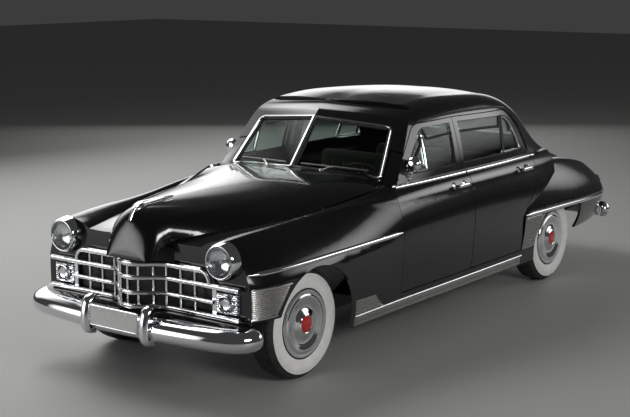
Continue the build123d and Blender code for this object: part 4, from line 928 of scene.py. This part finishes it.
# %% Lamps
LAMP_X, LAMP_Y, LAMP_Z = 2.430, 0.669, 0.845
RIM = through([(0.1215, -0.002), (0.1190, 0.016), (0.1150, 0.036), (0.1090, 0.056), (0.1020, 0.0655),
               (0.0955, 0.0660), (0.0925, 0.0600), (0.0920, 0.0500)], 4)
BOWL = through([(0.0915, 0.0520), (0.0850, 0.0380), (0.0680, 0.0220), (0.0450, 0.0110), (0.0200, 0.0060),
                (0.0, 0.0050)], 4)
BULB = [(0.0, 0.046), (0.010, 0.044), (0.016, 0.036), (0.016, 0.026), (0.009, 0.016), (0.009, 0.005)]
DOME = through([(0.0, 0.0800), (0.0250, 0.0788), (0.0480, 0.0752), (0.0700, 0.0688), (0.0850, 0.0622),
                (0.0912, 0.0570)], 3)
GLASS_THICK = 0.004
LENS = DOME + [(r, w - GLASS_THICK) for r, w in DOME[::-1]]
PARKING_Y, PARKING_Z = 0.695, 0.590
BEZEL_HALF_Y, BEZEL_HALF_Z, BEZEL_DEPTH, BEZEL_ROUND = 0.0825, 0.065, 0.025, 0.006
RIB_HEIGHT, RIB_PITCH = 0.0026, 0.026
PARKING_RING = [(0.0555, 0.020), (0.0555, 0.033), (0.0525, 0.0425), (0.0475, 0.0445), (0.0440, 0.0410),
                (0.0430, 0.036)]
PARKING_LENS = through([(0.0435, 0.0370), (0.036, 0.0425), (0.020, 0.0455), (0.0, 0.0465)], 4)
PARKING_BOWL = through([(0.0432, 0.0362), (0.034, 0.0320), (0.018, 0.0300), (0.0, 0.0295)], 4)
TAIL_X, TAIL_Y, TAIL_Z = -2.470, 0.762, 0.700
TAIL_RING = [(0.0565, -0.004), (0.0560, 0.016), (0.0520, 0.0255), (0.0470, 0.0275), (0.0440, 0.0235)]
TAIL_LENS = through([(0.0450, 0.0200), (0.0420, 0.0330), (0.030, 0.0425), (0.014, 0.0460), (0.0, 0.0465)], 4)


def ribbed_bezel(shape, middle):
    """Adds a rectangular bezel with level ribs and a rounded edge."""
    rows = []
    for z in np.linspace(-BEZEL_HALF_Z, BEZEL_HALF_Z, 79):
        row = []
        for y in np.linspace(-BEZEL_HALF_Y, BEZEL_HALF_Y, 45):
            edge = min(BEZEL_HALF_Z - abs(z), BEZEL_HALF_Y - abs(y))
            height = BEZEL_DEPTH + RIB_HEIGHT * math.sin(2 * math.pi * z / RIB_PITCH)
            if edge <= BEZEL_ROUND:
                height = BEZEL_DEPTH * math.sqrt(max(0.0, 1 - (1 - edge / BEZEL_ROUND) ** 2))
            row.append(middle + Vector((height, y, z)))
        rows.append(row)
    shape.grid(rows)


rims, bowls, lenses, parking, tails = Shape(), Shape(), Shape(), Shape(), Shape()
AHEAD, BEHIND = (1, 0, 0), (-1, 0, 0)
for side, _ in SIDES:
    head = (LAMP_X, side * LAMP_Y, LAMP_Z)
    park = Vector((LAMP_X, side * PARKING_Y, PARKING_Z))
    tail = (TAIL_X, side * TAIL_Y, TAIL_Z)
    ribbed_bezel(parking, park)
    turned(rims, head, AHEAD, RIM, 80)
    turned(bowls, head, AHEAD, BOWL, 64)
    turned(bowls, head, AHEAD, BULB, 24, mark=1)
    turned(lenses, head, AHEAD, LENS, 80)
    turned(parking, park, AHEAD, PARKING_RING, 64)
    turned(parking, park, AHEAD, PARKING_LENS, 48, mark=1)
    turned(parking, park, AHEAD, PARKING_BOWL, 48)
    turned(tails, tail, BEHIND, TAIL_RING, 56, mark=1)
    turned(tails, tail, BEHIND, TAIL_LENS, 48)
piece("headlamp_rims_bright", rims, [CHROME], "body", ["headlamp_rims"])
piece("headlamp_bowls", bowls, [CHROME, PLATE_WHITE], "body")
piece("headlamp_glasses", lenses, [LAMP_GLASS], "body", ["headlamp_lenses"])
piece("parking_lamps_ribbed", parking, [CHROME, LAMP_GLASS], "body", ["parking_lamps"])
piece("tail_lamps_ringed", tails, [RED_LENS, CHROME], "body", ["tail_lamps"])
print("lamps 6")

# %% [markdown]
# Each bumper is a rolled blade: its top leans back and looks at the dark above, its crown looks ahead and
# catches the light. One section follows the plan line from tip to tip and shrinks to a rounded end, two
# upright guards hook over it, and two dark bars carry it. The rear one sits a little higher.

# %% Bumpers
BLADE = through([(0.105, 0.466), (0.070, 0.471), (0.038, 0.460), (0.013, 0.438), (0.002, 0.413),
                 (0.000, 0.393), (0.006, 0.369), (0.019, 0.348), (0.040, 0.334), (0.070, 0.330),
                 (0.085, 0.345), (0.098, 0.452)], 3, closed=True)  # depth behind the crown, height
BLADE_MIDDLE = np.array([0.055, 0.400])
TIP_ROUND = 0.060
FRONT_PLAN = [(2.699, 0.0), (2.691, 0.25), (2.670, 0.50), (2.643, 0.70), (2.604, 0.835), (2.545, 0.912),
              (2.465, 0.944), (2.385, 0.948)]
REAR_PLAN = [(2.699, 0.0), (2.696, 0.30), (2.682, 0.55), (2.660, 0.72), (2.622, 0.825), (2.566, 0.878),
             (2.510, 0.890)]
GUARD_LINE = through([(2.640, 0.318), (2.682, 0.328), (2.702, 0.358), (2.706, 0.398), (2.702, 0.446),
                      (2.692, 0.494), (2.672, 0.526), (2.640, 0.540), (2.604, 0.532)], 4)
GUARD_WIDTH, GUARD_THICK = 0.070, 0.020
ARM_Y, ARM_RADIUS = 0.399, 0.026
BUMPERS = [
    # name, plan, how far below the front section, way, guards' y, bar to the frame as (x, z) points
    ("front_bumper", FRONT_PLAN, 0.0, 1, 0.250, [(2.50, 0.375), (2.56, 0.380), (2.63, 0.395)]),
    ("rear_bumper", REAR_PLAN, -0.040, -1, 0.330, [(-2.52, 0.430), (-2.57, 0.432), (-2.63, 0.440)]),
]


def blade(shape, outline, drop, way):
    """Adds a bumper blade along a half plan; drop lowers the section and way is 1 ahead or -1 behind."""
    half = through(outline, 8)
    plan = [point * (1, -1) for point in half[:0:-1]] + half
    lengths = np.cumsum([0] + [float(np.linalg.norm(b - a)) for a, b in zip(plan, plan[1:])])
    rows = []
    for i, point in enumerate(plan):
        along = plan[min(i + 1, len(plan) - 1)] - plan[max(i - 1, 0)]
        inward = np.array([-along[1], along[0]]) / np.linalg.norm(along)
        from_tip = min(lengths[i], lengths[-1] - lengths[i])
        shrink = math.sqrt(max(0.0004, 1 - (1 - min(1.0, from_tip / TIP_ROUND)) ** 2))
        section = [BLADE_MIDDLE + (np.array(key) - BLADE_MIDDLE) * shrink for key in BLADE]
        places = [(point + inward * depth, z - drop) for depth, z in section]
        rows.append([(way * place[0], place[1], z) for place, z in places])
    shape.grid(rows, around=True, caps=True)
    return float(lengths[-1])


def guard(shape, y, drop, way):
    """Adds one upright guard that hooks over the blade."""
    line = [Vector((way * x, y, z - drop)) for x, z in GUARD_LINE]
    normals = []
    for before, after in zip([line[0]] + line, line[1:] + [line[-1]]):
        along = (after - before).normalized()
        normals.append(Vector((along.z, 0, -along.x)) * way)
    strip(shape, line, normals, GUARD_WIDTH, GUARD_THICK, profile=ROUND)


for name, outline, drop, way, guard_y, arm in BUMPERS:
    bumper = Shape()
    length = blade(bumper, outline, drop, way)
    for side in (1, -1):
        guard(bumper, side * guard_y, drop, way)
        rod(bumper, [(x, side * ARM_Y, z) for x, z in arm], ARM_RADIUS, mark=1)
    piece(f"{name}_blade", bumper, [CHROME, FRAME_BLACK], "body", [name])
    print(name, round(length, 3), "m along its crown")

# %% [markdown]
# Behind the grille the air is led to the radiator by dark sheets, and a painted pan fills the gap down
# to the bumper, so no daylight shows between the bars.

# %% Grille baffles and pan
BAFFLE_LINE = [(2.425, 0.610), (2.415, 0.560), (2.400, 0.420), (2.392, 0.300)]
BAFFLE_LOW, BAFFLE_HIGH, SHELF_Z, SHELF_HALF = 0.470, 0.785, 0.478, 0.60
PAN_INNER_X, PAN_HIGH, PAN_FALL, PAN_HALF, BLADE_BACK = 2.425, 0.486, 0.036, 0.868, 0.090
baffles, pan = Shape(), Shape()
for side in (1, -1):
    across = through(BAFFLE_LINE, 5)
    heights = np.linspace(BAFFLE_LOW, BAFFLE_HIGH, 8)
    baffles.grid([[(x, side * y, z) for x, y in across] for z in heights])
shelf_y = np.linspace(-SHELF_HALF, SHELF_HALF, 25)
baffles.grid([[(x, y, SHELF_Z) for y in shelf_y] for x in (2.40, 2.44, 2.47)])
plan_x, plan_y = zip(*FRONT_PLAN[:-2])
rows = []
for t in np.linspace(0, 1, 9):
    row = []
    for y in np.linspace(-PAN_HALF, PAN_HALF, 49):
        reach = np.interp(abs(y), plan_y, plan_x) - BLADE_BACK - PAN_INNER_X
        row.append((PAN_INNER_X + t * reach, y, PAN_HIGH - PAN_FALL * (1 - math.cos(math.pi * t / 2))))
    rows.append(row)
pan.grid(rows)
piece("grille_baffles", baffles, [FRAME_BLACK], "body")
piece("front_pan", pan, [LACQUER], "body")
print("baffles and pan")

# %% [markdown]
# The number plate stays blank: a pressed white sheet in a bright frame between the bumper's guards. The
# hood's ornament is a flat-topped spear with a stem down the prow and two arms that sweep back along the
# hood. The lid's handle is a bowed grip on a round boss.

# %% Plate, ornament and lid handle
PLATE_X, PLATE_HALF_Y, PLATE_LOW, PLATE_HIGH = 2.7075, 0.200, 0.380, 0.502
PLATE_THICK, BEAD_HEIGHT, BEAD_FROM, BEAD_TO = 0.006, 0.0016, 0.006, 0.013
SCREW = [(0.0, 0.004), (0.005, 0.0035), (0.008, 0.001), (0.0085, -0.002)]
plate, plate_frame = Shape(), Shape()
rows = []
for z in np.linspace(PLATE_LOW, PLATE_HIGH, 15):
    row = []
    for y in np.linspace(-PLATE_HALF_Y, PLATE_HALF_Y, 37):
        edge = min(z - PLATE_LOW, PLATE_HIGH - z, PLATE_HALF_Y - abs(y))
        row.append((PLATE_X + (BEAD_HEIGHT if BEAD_FROM < edge < BEAD_TO else 0.0), y, z))
    rows.append(row)
plate.grid(rows)
plate.grid([[(x - PLATE_THICK, y, z) for x, y, z in row] for row in rows])
for y in (-0.11, 0.11):
    turned(plate, (PLATE_X, y, PLATE_HIGH - 0.02), AHEAD, SCREW, 20, mark=1)
loop = closed_line([(-PLATE_HALF_Y, PLATE_LOW), (PLATE_HALF_Y, PLATE_LOW), (PLATE_HALF_Y, PLATE_HIGH),
                    (-PLATE_HALF_Y, PLATE_HIGH)], 0.012)
strip_on(plate_frame, [((PLATE_X - 0.001, y, z), Vector(AHEAD)) for y, z in loop], 0.010, 0.006, closed=True)
piece("plate_blank", plate, [PLATE_WHITE, CHROME], "body")
piece("plate_frame", plate_frame, [CHROME], "body")

SPEAR = [
    # x, half width, foot, top
    (2.150, 0.004, 1.105, 1.132), (2.240, 0.012, 1.105, 1.137), (2.330, 0.018, 1.100, 1.1385),
    (2.440, 0.023, 1.090, 1.136), (2.485, 0.020, 1.075, 1.124), (2.500, 0.012, 1.065, 1.108),
]
SPEAR_SECTION = [(-1, -0.010), (-0.86, -0.003), (0, 0.001), (0.86, -0.003), (1, -0.010)]
STEM = [(2.494, 0, 1.100), (2.520, 0, 1.066), (2.541, 0, 1.030)]
SWEPT_ARM = [(2.512, 0.004), (2.492, 0.020), (2.450, 0.031), (2.400, 0.038), (2.300, 0.050), (2.215, 0.058)]
ornament, hood_skin = Shape(), skin("hood")
rows = []
for x, half, foot, top in SPEAR:
    rows.append([(x, -half, foot)] + [(x, a * half, top + h) for a, h in SPEAR_SECTION] + [(x, half, foot)])
ornament.grid(rows, around=True, caps=True)
rod(ornament, STEM, 0.010)
for side in (1, -1):
    found = [hit(hood_skin, (x, side * y, 1.4), (0, 0, -1)) for x, y in through(SWEPT_ARM, 5)]
    strip_on(ornament, found, 0.018, 0.010, taper=6)
piece("ornament_bright", ornament, [CHROME], "hood", ["hood_ornament"])

GRIP_Z, GRIP_STEPS = 0.700, 15
BOSS = [(0.034, -0.004), (0.033, 0.006), (0.026, 0.012), (0.014, 0.026), (0.0, 0.028)]
lid_skin, grip = skin("trunk_lid"), Shape()
found = [hit(lid_skin, (-3.2, y, GRIP_Z), (1, 0, 0)) for y in np.linspace(-0.085, 0.085, GRIP_STEPS)]
bow = [0.010 + 0.016 * math.sin(math.pi * i / (GRIP_STEPS - 1)) for i in range(GRIP_STEPS)]
strip_on(grip, [(p + n * h, n) for (p, n), h in zip(found, bow)], 0.024, 0.010, taper=3)
turned(grip, *found[GRIP_STEPS // 2], BOSS, 40)
piece("lid_handle", grip, [CHROME], "trunk_lid")
print("plate, ornament, lid handle")

# %% [markdown]
# The benches are soft. Each pad starts as a rounded block a little smaller than its CAD solid. The cloth
# solver blows it up with light pressure while the sewn channels are held, and the movement is capped.

# %% Seat pads: the block and the cloth solver
PAD_VOXEL, PAD_ROUND, PUFF_CAP, CHANNEL = 0.016, 0.045, 0.024, 0.135
SEW_HALF, SEW_SINK, PUFF_STEPS, PUFF_PRESSURE = 0.009, -0.006, 20, 4.0


def pad_block(name, length, width, thickness):
    """Rounded block with even small faces, lying flat about the origin."""
    block = bpy.data.objects.new(name, bpy.data.meshes.new(name))
    bpy.context.scene.collection.objects.link(block)
    build = bmesh.new()
    bmesh.ops.create_cube(build, size=1.0)
    bmesh.ops.scale(build, vec=(length, width, thickness), verts=build.verts)
    rounding = min(PAD_ROUND, 0.4 * thickness)
    bmesh.ops.bevel(build, geom=build.edges[:], offset=rounding, segments=4, profile=0.5, affect="EDGES")
    build.to_mesh(block.data)
    build.free()
    remesh = block.modifiers.new("even", "REMESH")
    remesh.mode = "VOXEL"
    remesh.voxel_size = PAD_VOXEL
    made = bpy.data.meshes.new_from_object(block.evaluated_get(bpy.context.evaluated_depsgraph_get()))
    block.modifiers.clear()
    block.data = made
    return block


def puff(block):
    """Blows a block up with the cloth solver; channels across the top stay sewn."""
    start = np.array([vertex.co[:] for vertex in block.data.vertices])
    low, high = start.min(axis=0), start.max(axis=0)
    off = np.abs((start[:, 1] + CHANNEL / 2) % CHANNEL - CHANNEL / 2)
    inner = (start[:, 0] > low[0] + 0.08) & (start[:, 0] < high[0] - 0.06)
    held = ((off < SEW_HALF) & inner & (start[:, 2] > high[2] - 0.02)) | (start[:, 2] < low[2] + 0.012)
    group = block.vertex_groups.new(name="sewn")
    group.add([int(i) for i in np.nonzero(held)[0]], 1.0, "REPLACE")
    cloth = block.modifiers.new("puff", "CLOTH")
    cloth.settings.use_pressure = True
    cloth.settings.uniform_pressure_force = PUFF_PRESSURE
    cloth.settings.effector_weights.gravity = 0.0
    cloth.settings.vertex_group_mass = "sewn"
    cloth.settings.quality = 4
    for step in range(1, PUFF_STEPS + 1):
        bpy.context.scene.frame_set(step)
    solved = block.evaluated_get(bpy.context.evaluated_depsgraph_get()).to_mesh()
    moved = np.array([vertex.co[:] for vertex in solved.vertices]) - start
    reach = np.linalg.norm(moved, axis=1, keepdims=True)
    moved *= np.minimum(1.0, PUFF_CAP / np.maximum(reach, 1e-9))
    block.modifiers.clear()
    bpy.context.scene.frame_set(1)
    moved[:, 2] += np.where(held & (start[:, 2] > 0), SEW_SINK, 0.0)
    block.data.vertices.foreach_set("co", (start + moved).ravel())
    block.data.update()
    return float(reach.max())


# %% Seat pads
PADS = [
    # name, node it stands for, middle, length, width, thickness, lean in degrees
    ("front_cushion", "front_seat", (0.040, 0, 0.592), 0.500, 1.350, 0.165, 0),
    ("front_back", None, (-0.292, 0, 0.815), 0.600, 1.310, 0.090, 75),
    ("rear_cushion", "rear_seat", (-0.760, 0, 0.592), 0.460, 1.330, 0.165, 0),
    ("rear_back", None, (-1.058, 0, 0.800), 0.560, 1.270, 0.100, 73.5),
]
for name, node, middle, length, width, thickness, lean in PADS:
    block = pad_block(name, length, width, thickness)
    reach = puff(block)
    turn = Matrix.Rotation(math.radians(lean), 4, "Y") if lean else Matrix()
    block.data.transform(Matrix.Translation(middle) @ turn)
    block.modifiers.new("round", "SUBSURF").levels = 1
    block.data.materials.append(CLOTH)
    block.data.shade_smooth()
    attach(block, "body")
    if node:
        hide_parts(node)
    print(name, len(block.data.vertices), "points, moved", round(reach, 3))

# %% [markdown]
# Under the cushions stand dark bases. The dash has three dials with plain marks, a bright strip and four
# knobs, and the steering wheel has a horn ring on three short spokes.

# %% Seat bases, dash and steering
BASE_HALF_Y, BASE_Y, SQUARENESS = 0.22, 0.40, 0.25
DIALS = [(0.38, 1.000, 0.088), (0.0, 1.000, 0.055), (-0.38, 1.000, 0.055)]  # y, z, radius
KNOB = [(0.004, -0.002), (0.004, 0.014), (0.013, 0.016), (0.014, 0.026), (0.010, 0.030), (0.0, 0.031)]
HUB_CAP = [(0.047, 0.006), (0.046, 0.016), (0.038, 0.026), (0.020, 0.031), (0.0, 0.032)]
HUB, TILT, RING_RADIUS, RING_THICK = Vector((0.520, 0.380, 0.990)), math.radians(28), 0.130, 0.0045
UP = Vector((0, 0, 1))


def squarish(angle_part):
    """Cosine or sine drawn out towards a rounded square."""
    return math.copysign(abs(angle_part) ** SQUARENESS, angle_part)


def dial(shape, place, normal, radius):
    """Adds a dial: bright rim, dark face, plain marks and a needle."""
    rim = [(radius + 0.008, -0.004), (radius + 0.007, 0.006), (radius, 0.010), (radius - 0.006, 0.006)]
    turned(shape, place, normal, rim, 48)
    turned(shape, place, normal, [rim[-1], (radius - 0.012, 0.003), (0.0, 0.003)], 48, mark=1)
    along = normal.cross(UP).normalized()
    for angle in np.radians(np.linspace(-130, 130, 14)):
        way = along * math.sin(angle) + UP * math.cos(angle)
        rod(shape, [place + normal * 0.004 + way * (radius * u) for u in (0.66, 0.82)], 0.0012, mark=2)
    middle = place + normal * 0.005
    rod(shape, [middle, middle + (along * 0.6 + UP * 0.8) * radius * 0.62], 0.0015, mark=2)


bases, dash, wheel = Shape(), Shape(), Shape()
for x, length in ((0.030, 0.430), (-0.780, 0.400)):
    for side in (1, -1):
        outline = [(x + 0.5 * length * squarish(math.cos(a)),
                    side * BASE_Y + BASE_HALF_Y * squarish(math.sin(a)))
                   for a in np.linspace(0, 2 * math.pi, 40, endpoint=False)]
        bases.grid([[(a, b, z) for a, b in outline] for z in (0.3305, 0.42, 0.53)], around=True, caps=True)
piece("seat_bases", bases, [DARK_TRIM], "body")

dash_skin = skin("dashboard")


def on_dash(y, z):
    """Place and normal on the dash, seen from the seat."""
    return hit(dash_skin, (0.3, y, z), (1, 0, 0))


for y, z, radius in DIALS:
    dial(dash, *on_dash(y, z), radius)
strip_on(dash, [on_dash(y, 0.925) for y in np.linspace(-0.66, 0.66, 45)], 0.014, 0.006)
for y in (-0.16, -0.10, 0.10, 0.16):
    turned(dash, *on_dash(y, 0.955), KNOB, 24)
piece("dash_dials", dash, [CHROME, DARK_TRIM, PLATE_WHITE], "body")

column, first = Vector((-math.cos(TILT), 0, math.sin(TILT))), Vector((0, 1, 0))
ring = [(RING_RADIUS + RING_THICK * math.cos(a), 0.018 + RING_THICK * math.sin(a))
        for a in np.linspace(0, 2 * math.pi, 13)]
turned(wheel, HUB, column, ring, 64)
turned(wheel, HUB, column, HUB_CAP, 40)
for angle in np.radians([0, 180, 270]):
    way = first * math.cos(angle) + column.cross(first) * math.sin(angle)
    rod(wheel, [HUB + column * 0.016 + way * u for u in (0.040, 0.085, RING_RADIUS)], 0.004)
piece("horn_ring", wheel, [CHROME], "steering_wheel")
print("dash, steering")

# %% [markdown]
# Inside, each door is lined with a ribbed cloth card, with a bright strip and a crank on a round boss.

# %% Door cards
CARDS = [("front", 0.80, 0.0), ("rear", -0.14, -0.80)]  # door, front and rear edge
CARD_LOW, CARD_HIGH, CARD_STRIP_Z, CRANK_Z = 0.42, 1.03, 0.70, 0.86
CRANK_BOSS = [(0.020, -0.002), (0.018, 0.010), (0.0, 0.013)]
for side, name in SIDES:
    for where, x0, x1 in CARDS:
        door = f"door_{where}_{name}"
        inside = skin(door)
        card, bright = Shape(), Shape()
        low, high = [(x0, CARD_LOW), (x1, CARD_LOW)], [(x0 - 0.02, CARD_HIGH), (x1, CARD_HIGH)]
        side_sheet(card, inside, side, low, high, 24, 4, 0.006, 0.0012, True)
        line = straight([(x0 - 0.06, CARD_STRIP_Z), (x1 + 0.06, CARD_STRIP_Z)], 0.04)
        places, normals = on_side(inside, side, line, True)
        strip(bright, [p + n * 0.007 for p, n in zip(places, normals)], normals, 0.012, 0.004)
        places, normals = on_side(inside, side, [(x0 - 0.30, CRANK_Z)], True)
        normal = normals[0]
        place = places[0] + normal * 0.006
        turned(bright, place, normal, CRANK_BOSS, 28)
        bend = place + normal * 0.030 + Vector((0.05, 0, -0.04))
        knob = place + normal * 0.032 + Vector((0.075, 0, -0.06))
        rod(bright, [place + normal * 0.012, bend, knob], 0.005)
        piece(f"door_card_{where}_{name}", card, [CLOTH], door)
        piece(f"door_fittings_{where}_{name}", bright, [CHROME], door)
print("door cards 4")
